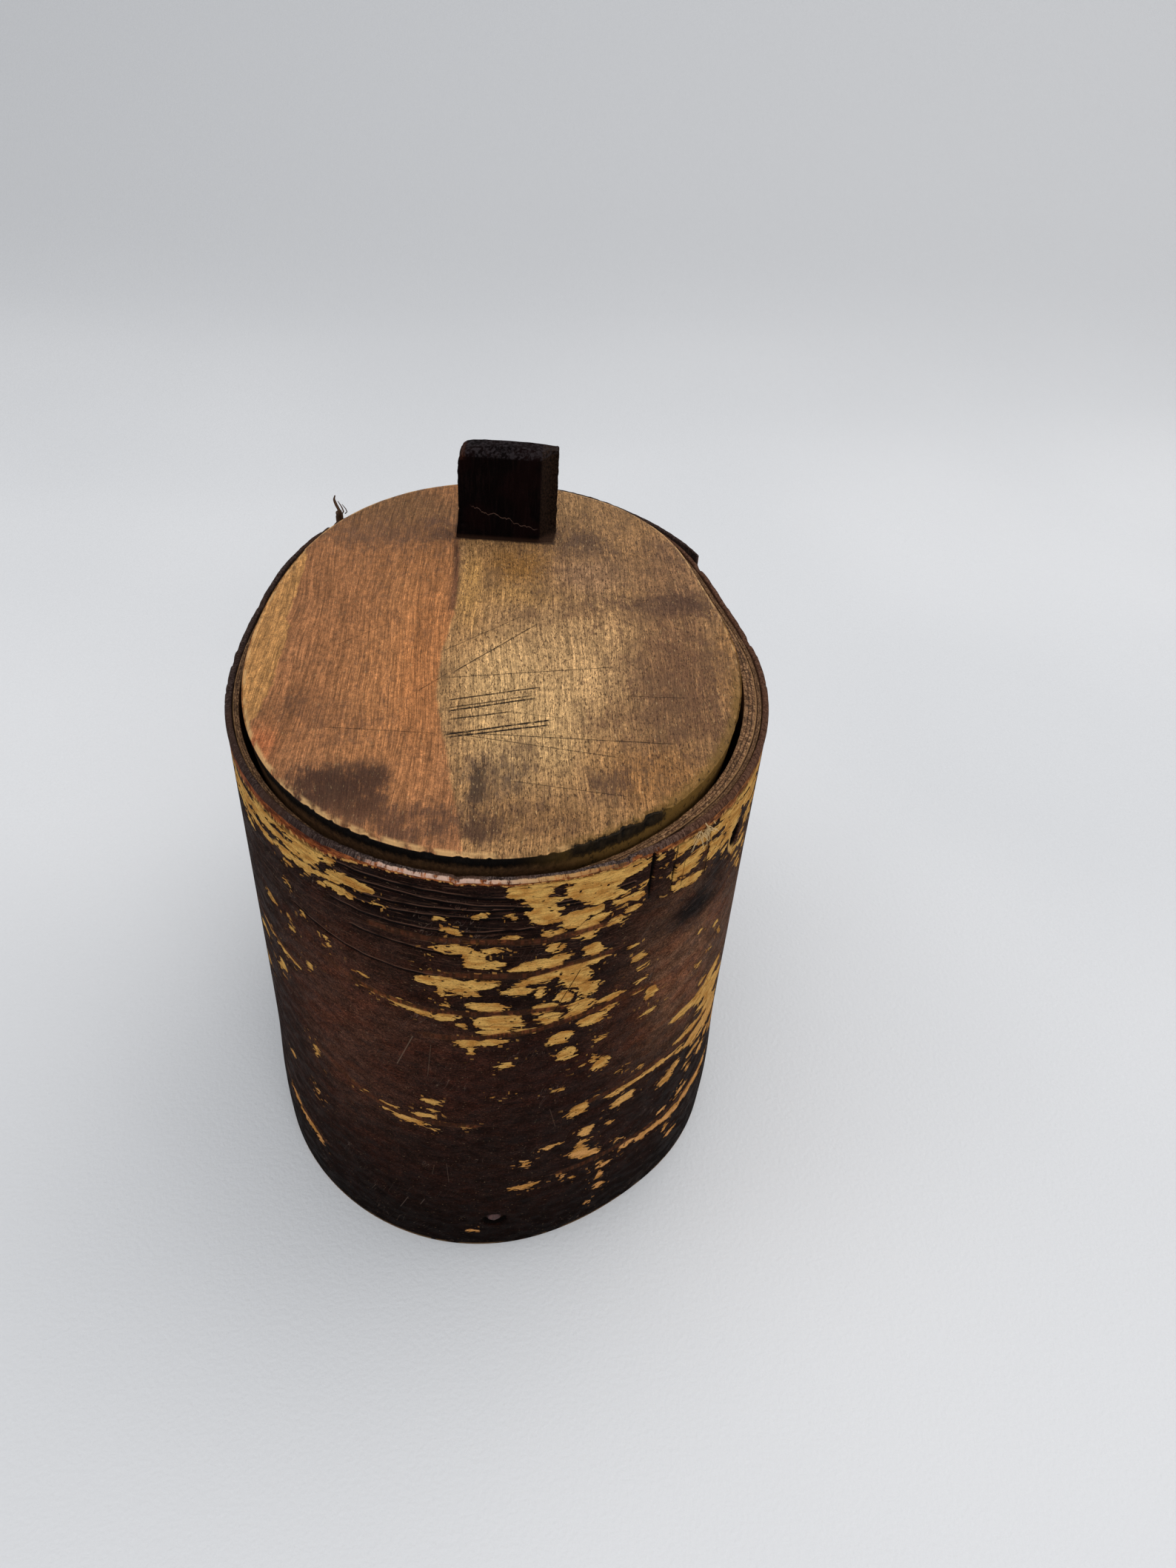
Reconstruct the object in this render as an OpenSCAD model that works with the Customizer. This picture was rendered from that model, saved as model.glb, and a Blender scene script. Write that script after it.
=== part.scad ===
// Oval bark box with a wooden plug lid and an upright wooden grip.
// Millimetres, +Z up. The box stands on Z = 0 with the long way of its oval along Y.
// The front of the box looks along -Y, and the sewn seam of the wall is at the back.
// Angles round the oval are in degrees, from +X towards +Y.

/* [Bark wall] */
// Width of the oval at the rim, outside
rim_width = 102.4; // [80:0.1:130]
// Length of the oval at the rim, outside
rim_length = 127.2; // [100:0.1:160]
// Height of the wall
wall_height = 123; // [90:1:160]
// Thickness of the outer bark sheet
sleeve_t = 1.3; // [1:0.1:2]
// How much further out the wall stands at its foot than at the rim
foot_flare = 2.4; // [0:0.1:6]
// How far the foot is drawn in again at its right front
foot_dent = 2.1; // [0:0.1:3]
// Soft swelling of the wall round the bottom board
belly = 0.7; // [0:0.1:1.5]
// How far the bent bark leaves a true ellipse, in three soft lobes
wall_lobe = 1.3; // [0:0.1:2]
// Angle of the lobe at the back
lobe_at = 94; // [80:1:110]
// How much squarer the oval is than an ellipse, at its four shoulders
wall_square = 1.1; // [0:0.1:2]
// Depth of the flattened place on the wall
flat_depth = 1.8; // [0:0.1:2.5]
// Angle of the middle of the flattened place
flat_at = 22; // [10:1:45]
// Half the spread of the flattened place, in degrees
flat_spread = 20; // [14:1:30]
// Radius of the worn outer corner of the rim
rim_round = 0.8; // [0.4:0.1:0.9]
// How far the rim waves up and down
rim_wave = 0.5; // [0:0.1:1]
// Air left between two sheets of bark that lie on each other
sheet_gap = 0.15; // [0.1:0.05:0.3]

/* [Seam at the back] */
// Angle where the outer end of the wall's sheet lies
seam_outer_end = 39; // [30:3:60]
// Angle where the hidden inner end of the wall's sheet lies
seam_inner_end = 138; // [120:3:150]
// Length over which each end of a sheet is shaved thin
shaved_end = 7; // [3:1:12]
// Thickness of a sheet at its shaved end
shaved_t = 0.7; // [0.5:0.1:1]
// How far the outer end of the sheet curls away from the wall
end_curl = 0.8; // [0:0.1:1.5]
// How far the rim rises at that end
end_rise = 0.9; // [0:0.1:2]
// Width of the split root that sews the seam
root_w = 2.2; // [1.4:0.1:3]
// Thickness of that root
root_t = 1.1; // [0.8:0.1:1.5]
// Room round the root in its holes and beside the bark
root_gap = 0.16; // [0.1:0.01:0.3]
// How far a row of stitches lies from the end of the sheet, in degrees
row_inset = 10; // [9:1:14]
// Height of the lowest stitch hole
stitch_z = 21.5; // [21.5:0.5:30]
// Length of a stitch on the outside
stitch_out = 10.5; // [8:0.5:14]
// Length of a stitch on the inside
stitch_in = 6; // [5:0.5:8]
// Height of the loose root end above the rim
tail_rise = 6; // [3:0.5:10]

/* [Lining] */
// Thickness of the bark lining at its outer end
lining_thin = 0.7; // [0.6:0.1:1.2]
// Thickness of the bark lining at its inner end
lining_thick = 1.4; // [0.8:0.1:2]
// How much thicker the lining swells at the right, shortly before its inner end
lining_swell = 1.2; // [0:0.1:1.5]
// Angle where the outer end of the lining lies
lining_outer_end = -57; // [-70:3:-45]
// Angle where the inner end of the lining lies, past its overlap
lining_inner_end = 27; // [15:3:36]
// How far the lining's edge lies under the rim
lining_drop = 0.4; // [0.2:0.1:2]
// How much deeper the lining's edge dips at the front
front_dip = 2.6; // [0:0.1:5]

/* [Bottom] */
// Thickness of the bottom board
board_t = 11; // [9:0.5:14]
// Height of the board's underside above the foot of the wall
board_z = 6.5; // [4:0.5:9]
// Air round the edge of the board
board_gap = 0.15; // [0.1:0.05:0.3]
// Diameter of the pegs that hold the board
peg_d = 3.4; // [2.5:0.1:4.5]
// Length of a peg
peg_length = 15; // [10:1:20]
// How far a peg's head lies in from the face of the bark
peg_sink = 0.3; // [0:0.1:0.6]
// Clearance round a peg
peg_gap = 0.05; // [0.03:0.01:0.1]
// Angle between the front peg and the pegs beside it
peg_spacing = 62; // [50:1:70]

/* [Knot hole] */
// Angle of the knot hole in the wall
knot_at = -41; // [-60:1:-20]
// Height of the knot hole's middle under the rim
knot_drop = 14; // [10:1:30]
// Width of the knot hole
knot_width = 2.8; // [2:0.1:4]
// Height of the knot hole
knot_height = 4.8; // [4:0.1:7]

/* [Lid] */
// Thickness of the lid board
lid_t = 9; // [7:0.5:12]
// How far the top of the lid stands above the rim
lid_proud = 2.8; // [1:0.1:5]
// How much the lid's edge draws in from its top to its underside, per mm of height
lid_taper = 0.12; // [0.05:0.01:0.2]
// Gap between the lid and the lining at the rim, where it is least
lid_gap = 0.35; // [0.3:0.05:1]
// How much wider that gap is at the right
lid_slack_right = 0.8; // [0:0.1:3]
// How much wider that gap is at the back
lid_slack_back = 2.3; // [0:0.1:3]
// How much wider that gap is at the left
lid_slack_left = 0.7; // [0:0.1:2]
// Worn rounding of the lid's upper edge
lid_edge_wear = 0.7; // [0.3:0.1:1]
// Chamfer of the lid's lower edge
lid_chamfer = 1; // [0.5:0.1:2]
// Width of the shaved facets at the left and right edge of the lid
shave_width = 4.5; // [0:0.5:5]

/* [Grip] */
// Width of the grip
grip_width = 20.8; // [16:0.1:26]
// Thickness of the grip at the lid
grip_t = 6; // [4:0.1:8]
// Height of the grip above the lid
grip_height = 21; // [15:0.5:30]
// Distance from the back of the lid to the middle of the grip
grip_back = 23; // [15:0.5:35]
// Distance of the grip from the lid's middle line, to the right
grip_aside = 1.4; // [-5:0.1:5]
// Turn of the grip seen from above
grip_turn = -3.7; // [-10:0.1:10]
// Width of the facet on the grip's right front corner
facet_width = 3.6; // [0:0.1:5]
// Depth of that facet
facet_depth = 1.9; // [0:0.1:3]
// Rise of the middle of the grip's top over its ends
grip_crown = 0.9; // [0.3:0.1:2]
// Radius of the grip's top left corner
grip_corner = 3; // [1:0.1:5]
// Rounding of the grip's upper edges, front and back
grip_top_round = 1.6; // [0.5:0.1:1.9]
// How much wider the grip is at its foot, on its left
grip_foot = 0.6; // [0:0.1:1.5]
// Clearance of the grip in its mortise
mortise_gap = 0.08; // [0.05:0.01:0.2]

/* [Hidden] */

// Steps round the oval, in degrees, and how fine the swept roots are.
step = 3;
root_sides = 6;
// Heights at which the wall is drawn, up to just under the worn rim.
belly_z = board_z + board_t / 2;
belly_spread = 16;
wall_levels = [0, 7, belly_z, 34, 75];
// Angle and spread of the place where the foot is drawn in.
dent_at = [-64, 22];
// Length, in degrees, over which a sheet steps over its own other end.
step_over = 36;
// The rim's inner edge: width of its crest and how far its corner is worn down.
crest = 0.2;
inner_wear = 0.3;
// Distance of the lining from the wall's outer face, and its room for the roots.
lining_face = sleeve_t + sheet_gap;
root_room = root_t + 2 * root_gap - sheet_gap;
// The seam's second layer stands out at the back only, so all is moved forward by half of it.
seam_shift = (sleeve_t + sheet_gap) / 2;
// Distance of the roots from the wall's outer face: outside and inside the wall.
root_out = sleeve_t + sheet_gap + root_gap + root_t / 2;
root_in = -(sleeve_t + root_gap + root_t / 2);
root_bend = 0.38 * root_t;
// Length of a root's hidden end inside the wall.
root_end = 3;
right_row = seam_outer_end + row_inset;
left_row = seam_inner_end - row_inset;
stitch_pitch = stitch_out + stitch_in;
stitches = floor((wall_height - lid_t - stitch_z - stitch_out + lid_proud) / stitch_pitch) + 1;
// Lengths, in degrees, of the curled and of the raised stretch at the sheet's outer end.
curl_span = 9;
rise_span = 24;
// The lining dips at the front over this angle.
dip_at = -98;
dip_spread = 34;
// How far before the lining's inner end its swelling lies, and the swelling's spread.
swell_from_end = 53;
swell_spread = 32;
// Half the width, in degrees, of the lining's bulge over a row of stitches.
bulge_span = 14;
// Angles and spreads of the wider gaps round the lid.
slack_right_at = [-26, 36];
slack_back_at = [84, 32];
slack_left_at = [-155, 26];
// Angles and spreads of the lid's two shaved facets.
shave_left_at = [171, 22];
shave_right_at = [-13, 20];
lining_z = board_z + board_t;
peg_z = board_z + board_t / 2;
// How far a cutter reaches past the piece that it cuts, and the room at the end of a peg's hole.
cut_past = 5;
hole_end = 1;
lid_z = wall_height + lid_proud;
// Height over which the grip widens at its foot, and the foot's clearance over the lid.
foot_rise = 6;
foot_gap = 0.05;
// How far the rounded corner at the grip's top left runs up into the crown.
corner_lift = 0.3;

bark = [0.24, 0.16, 0.13];
lining_bark = [0.42, 0.28, 0.18];
pale_wood = [0.62, 0.45, 0.28];
dark_wood = [0.13, 0.10, 0.09];
peg_wood = [0.20, 0.13, 0.13];
root_brown = [0.36, 0.24, 0.14];

// ---- Curves --------------------------------------------------------------------

function wrap(a) = a - 360 * floor((a + 180) / 360);
function bump(a, at, spread) = exp(-pow(wrap(a - at) / spread, 2));
function smooth(t) = let (c = min(1, max(0, t))) c * c * (3 - 2 * c);
function ellipse_r(w, l, a) = w * l / 2 / sqrt(pow(l * cos(a), 2) + pow(w * sin(a), 2));
function three_lobes(size, a) = size * cos(3 * (a - lobe_at));

// Moves an outline with lobes back so that its box stays centred.
function lobe_shift(size) = [(three_lobes(size, 0) - three_lobes(size, 180)) / 2,
                             (three_lobes(size, 90) - three_lobes(size, -90)) / 2];

// The wall's outer face at angle a and height z, before anything lies over it.
function face_r(a, z) = ellipse_r(rim_width, rim_length, a) + three_lobes(wall_lobe, a)
    + wall_square * (1 - cos(4 * a)) / 2 - flat_depth * bump(a, flat_at, flat_spread)
    + (foot_flare - foot_dent * bump(a, dent_at[0], dent_at[1])) * (1 - z / wall_height)
    + belly * exp(-pow((z - belly_z) / belly_spread, 2));

// A point that lies off millimetres outside that face.
function wall_point(a, off, z) =
    let (r = face_r(a, z) + off, s = lobe_shift(wall_lobe))
    [r * cos(a) - s[0], r * sin(a) - s[1] - seam_shift, z];

function rim_z(a) = wall_height + rim_wave * (cos(2 * (a - 15)) - cos(a - 90)) / 2;

// ---- Solids from rings ---------------------------------------------------------

// Joins closed rings of equal length into one solid, with flat ends.
module skin(rings) {
    n = len(rings[0]);
    m = len(rings);
    sides = [for (i = [0:m - 2], j = [0:n - 1]) let (k = (j + 1) % n)
        each [[i * n + j, (i + 1) * n + j, i * n + k],
              [i * n + k, (i + 1) * n + j, (i + 1) * n + k]]];
    polyhedron([for (r = rings) each r],
        concat(sides, [[for (j = [0:n - 1]) j]],
               [[for (j = [n - 1:-1:0]) (m - 1) * n + j]]));
}

// ---- Bark sheets ---------------------------------------------------------------

// Thickness of a sheet at u degrees along its whole turn.
function sheet_t(u, turn, t) =
    let (from_end = min(u, turn - u) * PI / 180 * rim_width / 2)
    shaved_t + (t - shaved_t) * smooth(from_end / shaved_end);

// One upright section of the wall's sheet: outer face, worn rim, inner face.
function sleeve_section(a, off, t, top) =
    let (r = min(rim_round, t - crest))
    concat([for (z = wall_levels) wall_point(a, off, z)],
           [for (b = [0, 35, 70]) wall_point(a, off - r * (1 - cos(b)), top - r * (1 - sin(b)))],
           [wall_point(a, off - t + crest, top), wall_point(a, off - t, top - inner_wear)],
           [for (i = [len(wall_levels) - 1:-1:0]) wall_point(a, off - t, wall_levels[i])]);

lining_turn = 360 + lining_inner_end - lining_outer_end;
function lining_t(u) = lining_thin + (lining_thick - lining_thin) * u / lining_turn
    + lining_swell * exp(-pow((u - lining_turn + swell_from_end) / swell_spread, 2));
function lining_top(a) = rim_z(a) - lining_drop - front_dip * bump(a, dip_at, dip_spread);

// The lining bulges in over the two rows of stitches, up to the lid's underside.
function lining_room(a) = root_room
    * smooth((bulge_span - min(abs(a - right_row), abs(a - left_row))) / (bulge_span - 4));

// One upright section of the lining: outer face, edge, inner face. Each level has a height and
// its share of the room for the roots, which ends just under the lid.
function lining_section(a, off, t) =
    let (top = lining_top(a), room = lining_room(a), room_z = min(lid_z - lid_t, top - 3),
         levels = [[lining_z, 1], [34, 1], [75, 1], [room_z - 2, 1], [room_z + 1.5, 0], [top - inner_wear, 0]])
    concat([for (l = levels) wall_point(a, off - l[1] * room, l[0])],
           [wall_point(a, off - t / 3, top), wall_point(a, off - 2 * t / 3, top)],
           [for (i = [len(levels) - 1:-1:0]) wall_point(a, off - t - levels[i][1] * room, levels[i][0])]);

module outer_sleeve_sheet() {
    turn = 360 + seam_inner_end - seam_outer_end;
    over = sleeve_t + sheet_gap;
    skin([for (u = [0:step:turn]) let (
            a = seam_inner_end - u,
            off = over * smooth((u - 360 + step_over) / step_over)
                + end_curl * smooth((u - turn + curl_span) / curl_span),
            t = sheet_t(u, turn, sleeve_t),
            top = rim_z(a) + end_rise * smooth((u - turn + rise_span) / rise_span))
        sleeve_section(a, off - (sleeve_t - t), t, top)]);
}

module inner_lining_sheet() {
    skin([for (u = [lining_turn:-step:0]) let (
            a = wrap(lining_outer_end + u),
            under = (lining_t(max(0, u - 360)) + sheet_gap) * smooth((u - 360 + step_over) / step_over),
            t = sheet_t(u, lining_turn, lining_t(u)))
        lining_section(a, -lining_face - under, t)]);
}

// ---- Holes ---------------------------------------------------------------------

// Puts a cutter that runs along +Z straight through the wall at angle a and height z.
module through_wall(a, z) {
    translate(wall_point(a, -3 * sleeve_t, z)) rotate([0, 90, a]) children();
}

// Direction square to the wall at angle a, at the pegs' height.
function square_to_wall(a) =
    let (p = wall_point(a - 1, 0, peg_z), q = wall_point(a + 1, 0, peg_z))
    atan2(q[1] - p[1], q[0] - p[0]) - 90;

module place_peg(a) {
    translate(wall_point(a, -peg_sink, peg_z)) rotate([0, 90, square_to_wall(a) + 180]) children();
}

module knot_hole() {
    z = wall_height - knot_drop;
    rise = (knot_height - knot_width) / 2;
    through_wall(knot_at, z) hull() for (x = [-rise, rise])
        translate([x, 0, 0]) cylinder(d = knot_width, h = 8 * sleeve_t, $fn = 32);
}

peg_angles = [-90, -90 + peg_spacing, 90 - peg_spacing, 90, 90 + peg_spacing, -90 - peg_spacing];

module peg_holes() {
    for (a = peg_angles)
        place_peg(a) translate([0, 0, -cut_past])
            cylinder(d = peg_d + 2 * peg_gap, h = cut_past + peg_length + hole_end, $fn = 32);
}

// The slits that the roots pass through. The left root's last stitch runs over the rim.
module stitch_slits() {
    for (a = [right_row, left_row], i = [0:stitches - 1], z = [0, stitch_out])
        if (a == right_row || i < stitches - 1 || z == 0)
            through_wall(a, stitch_z + i * stitch_pitch + z)
                translate([-root_t / 2 - root_gap, -root_w / 2 - root_gap, 0])
                cube([root_t + 2 * root_gap, root_w + 2 * root_gap, 8 * sleeve_t]);
}

// ---- Box body ------------------------------------------------------------------

module outer_sleeve() color(bark) difference() {
    outer_sleeve_sheet();
    peg_holes();
    stitch_slits();
    knot_hole();
}

module inner_lining() color(lining_bark) inner_lining_sheet();

module bottom_board() color(pale_wood) difference() {
    skin([for (z = [board_z, peg_z, board_z + board_t]) [for (a = [0:step:359])
        wall_point(a, -sleeve_t - board_gap, z)]]);
    peg_holes();
}

// A peg whittled to eight sides.
module peg(a) color(peg_wood) place_peg(a) cylinder(d = peg_d, h = peg_length, $fn = 8);

module peg_front() peg(peg_angles[0]);
module peg_front_right() peg(peg_angles[1]);
module peg_back_right() peg(peg_angles[2]);
module peg_back() peg(peg_angles[3]);
module peg_back_left() peg(peg_angles[4]);
module peg_front_left() peg(peg_angles[5]);

// ---- Seam roots ----------------------------------------------------------------

// The roots' routes hold [angle, distance from the wall's face, height].
function running_stitches(a) = concat(
    [[a, root_in, stitch_z - root_end]],
    [for (i = [0:stitches - 1]) let (z = stitch_z + i * stitch_pitch, top = z + stitch_out)
        each concat(
            [[a, root_in, z - root_bend], [a, root_in + root_bend, z],
             [a, root_out - root_bend, z], [a, root_out, z + root_bend]],
            i == stitches - 1 ? [] :
            [[a, root_out, top - root_bend], [a, root_out - root_bend, top],
             [a, root_in + root_bend, top], [a, root_in, top + root_bend]])]);

last_z = stitch_z + (stitches - 1) * stitch_pitch;
over_rim = wall_height + root_t / 2 + root_gap;

function right_route() = let (a = right_row, top = last_z + stitch_out) concat(
    running_stitches(a),
    [[a, root_out, top - root_bend], [a, root_out - root_bend, top],
     [a, root_in + root_bend, top], [a, root_in, top - root_bend], [a, root_in, top - root_end + root_bend]]);

// The left root leans over the rim and stands up as a loose end.
function left_route() = let (a = left_row, top = wall_height + tail_rise) concat(
    running_stitches(a),
    [[a, root_out, over_rim - 2], [a + 0.3, root_out - 0.3, over_rim + 0.6],
     [a + 1, root_out - 0.8, over_rim + 2.2], [a + 2, root_out - 0.6, top - 1.4], [a + 2.3, root_out - 0.4, top]]);

// Sweeps a root along a route. Its sections lie square to the route's direction.
module root(route) {
    pts = [for (q = route) wall_point(q[0], q[1], q[2])];
    last = len(pts) - 1;
    skin([for (i = [0:last]) let (
            ahead = pts[min(i + 1, last)] - pts[i],
            behind = pts[i] - pts[max(i - 1, 0)],
            along = unit((i == last ? [0, 0, 0] : unit(ahead)) + (i == 0 ? [0, 0, 0] : unit(behind))),
            round_way = [-sin(route[i][0]), cos(route[i][0]), 0],
            side = unit(round_way - along * (round_way * along)),
            out = cross(along, side))
        [for (k = [0:root_sides - 1]) let (b = k * 360 / root_sides)
            pts[i] + side * cos(b) * root_w / 2 + out * sin(b) * root_t / 2]]);
}
function unit(v) = v / norm(v);

module seam_root_right() color(root_brown) root(right_route());
module seam_root_left() color(root_brown) root(left_route());

// ---- Lid -----------------------------------------------------------------------

// Thickness of all layers of the lining at angle a, smoothed past the lining's inner end.
function layers(a) =
    let (u = a - lining_outer_end - 360 * floor((a - lining_outer_end) / 360))
    lining_t(u) + (lining_thin + sheet_gap) * smooth((u - 360 + step_over) / step_over)
    + (lining_t(min(u + 360, lining_turn)) + sheet_gap)
        * smooth((lining_turn - 360 + step_over - u) / step_over);

function lid_gap_at(a) = lid_gap + lid_slack_right * bump(a, slack_right_at[0], slack_right_at[1])
    + lid_slack_back * bump(a, slack_back_at[0], slack_back_at[1])
    + lid_slack_left * bump(a, slack_left_at[0], slack_left_at[1]);

// The lid's outline follows the mouth of the box, less the gap. It is widest at its top.
function lid_point(a, inset, z) =
    wall_point(a, -lining_face - layers(a) - lid_gap_at(a) + lid_taper * lid_proud - inset
        - (face_r(a, z) - face_r(a, wall_height)), z);
lid_middle = (lid_point(0, 0, lid_z)[0] + lid_point(180, 0, lid_z)[0]) / 2;
lid_back = lid_point(90, 0, lid_z)[1];

// Extra inset of the top face where the edge has been shaved to a facet.
function shave(a) = shave_width * (bump(a, shave_left_at[0], shave_left_at[1])
    + bump(a, shave_right_at[0], shave_right_at[1]));

grip_at = [lid_middle + grip_aside, lid_back - grip_back];

module at_grip() translate([grip_at[0], grip_at[1], lid_z]) rotate([0, 0, grip_turn]) children();

module lid_board() color(pale_wood) difference() {
    // Each ring: depth under the lid's top, inset, and share of the shaved facet.
    skin([for (p = [[lid_t, lid_taper * lid_t + lid_chamfer, 0],
                    [lid_t - lid_chamfer, lid_taper * (lid_t - lid_chamfer), 0],
                    [lid_edge_wear, 0, 0],
                    [lid_edge_wear * 0.35, lid_edge_wear * 0.35, 0.4],
                    [0, lid_edge_wear, 1]])
        [for (a = [0:step:359]) lid_point(a, p[1] + p[2] * shave(a), lid_z - p[0])]]);
    at_grip() translate([0, 0, -lid_t / 2])
        cube([grip_width + 2 * mortise_gap, grip_t + 2 * mortise_gap, lid_t + 2 * cut_past], center = true);
}

// The grip seen from the front: a crowned top, a rounded left corner, a wider foot.
module grip_front() {
    half = grip_width / 2;
    shoulder = grip_height - grip_crown;
    polygon(concat(
        [[-half, -lid_t], [half, -lid_t], [half, shoulder]],
        [for (i = [0:8]) let (t = i / 8, x = half - t * (grip_width - grip_corner))
            [x, shoulder + grip_crown * sin(180 * (half - x) / grip_width)]],
        [for (b = [100:20:180]) [-half + grip_corner * (1 + cos(b)),
            shoulder - grip_corner * (1 - sin(b)) + corner_lift]],
        [[-half, foot_rise], [-half - grip_foot * 0.7, foot_rise / 3], [-half - grip_foot, foot_gap],
         [-half, foot_gap]]));
}

// The grip seen from the side: upright faces and a rounded top.
module grip_side() {
    half = grip_t / 2;
    c = half - grip_top_round;
    polygon(concat(
        [[-half, -lid_t], [half, -lid_t]],
        [for (b = [0:15:90]) [c + grip_top_round * cos(b), grip_height - grip_top_round * (1 - sin(b))]],
        [for (b = [90:15:180]) [-c + grip_top_round * cos(b), grip_height - grip_top_round * (1 - sin(b))]]));
}

module lid_grip() color(dark_wood) at_grip() difference() {
    intersection() {
        rotate([90, 0, 0]) translate([0, 0, -grip_t]) linear_extrude(2 * grip_t) grip_front();
        rotate([90, 0, 90]) translate([0, 0, -grip_width]) linear_extrude(2 * grip_width) grip_side();
    }
    // The facet on the right front corner, above the lid only.
    translate([0, 0, foot_gap]) linear_extrude(grip_height + cut_past)
        polygon([[grip_width / 2 - facet_width, -grip_t / 2], [grip_width / 2, -grip_t / 2 + facet_depth],
                 [grip_width / 2 + 1, -grip_t / 2 + facet_depth], [grip_width / 2 + 1, -grip_t],
                 [grip_width / 2 - facet_width, -grip_t]]);
}

outer_sleeve();
inner_lining();
bottom_board();
peg_front();
peg_front_right();
peg_back_right();
peg_back();
peg_back_left();
peg_front_left();
seam_root_right();
seam_root_left();
lid_board();
lid_grip();
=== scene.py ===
"""Looks for an oval birch-bark box with a wooden plug lid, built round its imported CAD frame.

Lengths in this script are millimetres in the CAD's own frame until a mesh is made, which is in
metres. Angles round the oval are in degrees from +X towards +Y, and -90 is the front.
On the wall, s is the length along the bark from the front, positive towards +X, and z is height.
"""

import math

import bpy
import numpy as np
from mathutils import Matrix, Vector


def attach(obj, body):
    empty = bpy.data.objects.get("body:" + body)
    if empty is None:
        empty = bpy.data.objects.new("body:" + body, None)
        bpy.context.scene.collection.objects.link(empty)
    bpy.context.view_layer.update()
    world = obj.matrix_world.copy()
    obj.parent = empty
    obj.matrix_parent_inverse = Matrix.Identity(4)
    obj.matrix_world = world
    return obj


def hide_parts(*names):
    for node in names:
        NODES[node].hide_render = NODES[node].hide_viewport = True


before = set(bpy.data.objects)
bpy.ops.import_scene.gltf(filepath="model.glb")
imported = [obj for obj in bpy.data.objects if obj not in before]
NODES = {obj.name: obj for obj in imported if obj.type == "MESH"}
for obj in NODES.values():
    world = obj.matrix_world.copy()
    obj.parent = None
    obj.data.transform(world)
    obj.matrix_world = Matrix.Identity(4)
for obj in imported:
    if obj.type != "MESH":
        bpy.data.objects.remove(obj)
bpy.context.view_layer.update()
MM = 0.001

# ---- The CAD's own sizes, in mm ----

RIM_W, RIM_L, WALL_H = 102.4, 127.2, 123.0
SLEEVE_T, SHEET_GAP = 1.3, 0.15
FOOT_FLARE, FOOT_DENT, DENT_AT = 2.4, 2.1, (-64, 22)
BELLY, BELLY_Z, BELLY_SPREAD = 0.7, 12.0, 16.0
LOBE, LOBE_AT, SQUARE = 1.3, 94, 1.1
FLAT_DEPTH, FLAT_AT, FLAT_SPREAD = 1.8, 22, 20
RIM_ROUND, RIM_WAVE = 0.8, 0.5
OUTER_END, INNER_END = 39, 138
SHAVED_END, SHAVED_T = 7.0, 0.7
END_CURL, END_RISE = 0.7, 0.6
CURL_SPAN, RISE_SPAN, STEP_OVER = 9, 24, 36
ROOT_W, ROOT_T, ROOT_GAP, ROW_INSET = 2.2, 1.1, 0.16, 10
STITCH_Z, STITCH_OUT, STITCH_IN, TAIL_RISE = 21.5, 10.5, 6.0, 6.0
LINING_THIN, LINING_THICK, LINING_SWELL = 0.7, 1.4, 1.2
SWELL_FROM_END, SWELL_SPREAD = 53, 32
LINING_OUT_END, LINING_IN_END = -57, 27
LINING_DROP, FRONT_DIP, DIP_AT, DIP_SPREAD = 0.4, 2.6, -98, 34
BOARD_Z, BOARD_T = 6.5, 11.0
PEG_D, PEG_LEN, PEG_SINK, PEG_SPACING = 3.4, 15.0, 0.3, 62
KNOT_AT, KNOT_Z, KNOT_W, KNOT_H = -41, WALL_H - 14, 2.8, 4.8
LID_T, LID_PROUD, LID_TAPER, LID_GAP = 9.0, 2.8, 0.12, 0.35
LID_SLACK = ((0.8, -26, 36), (2.3, 84, 32), (0.7, -155, 26))
LID_WEAR, LID_CHAMFER = 0.7, 1.0
GRIP_W, GRIP_T, GRIP_H, GRIP_TURN = 20.8, 6.0, 21.0, -3.7
GRIP_BACK, GRIP_ASIDE = 23.0, 1.4

LINING_FACE = SLEEVE_T + SHEET_GAP
SEAM_SHIFT = (SLEEVE_T + SHEET_GAP) / 2
ROOT_ROOM = ROOT_T + 2 * ROOT_GAP - SHEET_GAP
RIGHT_ROW, LEFT_ROW = OUTER_END + ROW_INSET, INNER_END - ROW_INSET
LINING_Z = BOARD_Z + BOARD_T
LINING_TURN = 360 + LINING_IN_END - LINING_OUT_END
LID_Z = WALL_H + LID_PROUD
PEG_Z = BOARD_Z + BOARD_T / 2
PEG_ANGLES = {"peg_front": -90, "peg_front_right": -90 + PEG_SPACING,
              "peg_back_right": 90 - PEG_SPACING, "peg_back": 90,
              "peg_back_left": 90 + PEG_SPACING, "peg_front_left": -90 - PEG_SPACING}

# ---- The CAD's own curves ----


def wrap(a):
    return (np.asarray(a, float) + 180) % 360 - 180


def bump(a, at, spread):
    return np.exp(-((wrap(a - at) / spread) ** 2))


def smooth(t):
    c = np.clip(t, 0, 1)
    return c * c * (3 - 2 * c)


def cosd(a):
    return np.cos(np.radians(a))


def sind(a):
    return np.sin(np.radians(a))


def face_r(a, z):
    """Distance of the wall's outer face from the axis at angle a and height z."""
    oval = RIM_W * RIM_L / 2 / np.sqrt((RIM_L * cosd(a)) ** 2 + (RIM_W * sind(a)) ** 2)
    return (oval + LOBE * cosd(3 * (a - LOBE_AT)) + SQUARE * (1 - cosd(4 * a)) / 2
            - FLAT_DEPTH * bump(a, FLAT_AT, FLAT_SPREAD)
            + (FOOT_FLARE - FOOT_DENT * bump(a, *DENT_AT)) * (1 - z / WALL_H)
            + BELLY * np.exp(-(((z - BELLY_Z) / BELLY_SPREAD) ** 2)))


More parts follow.
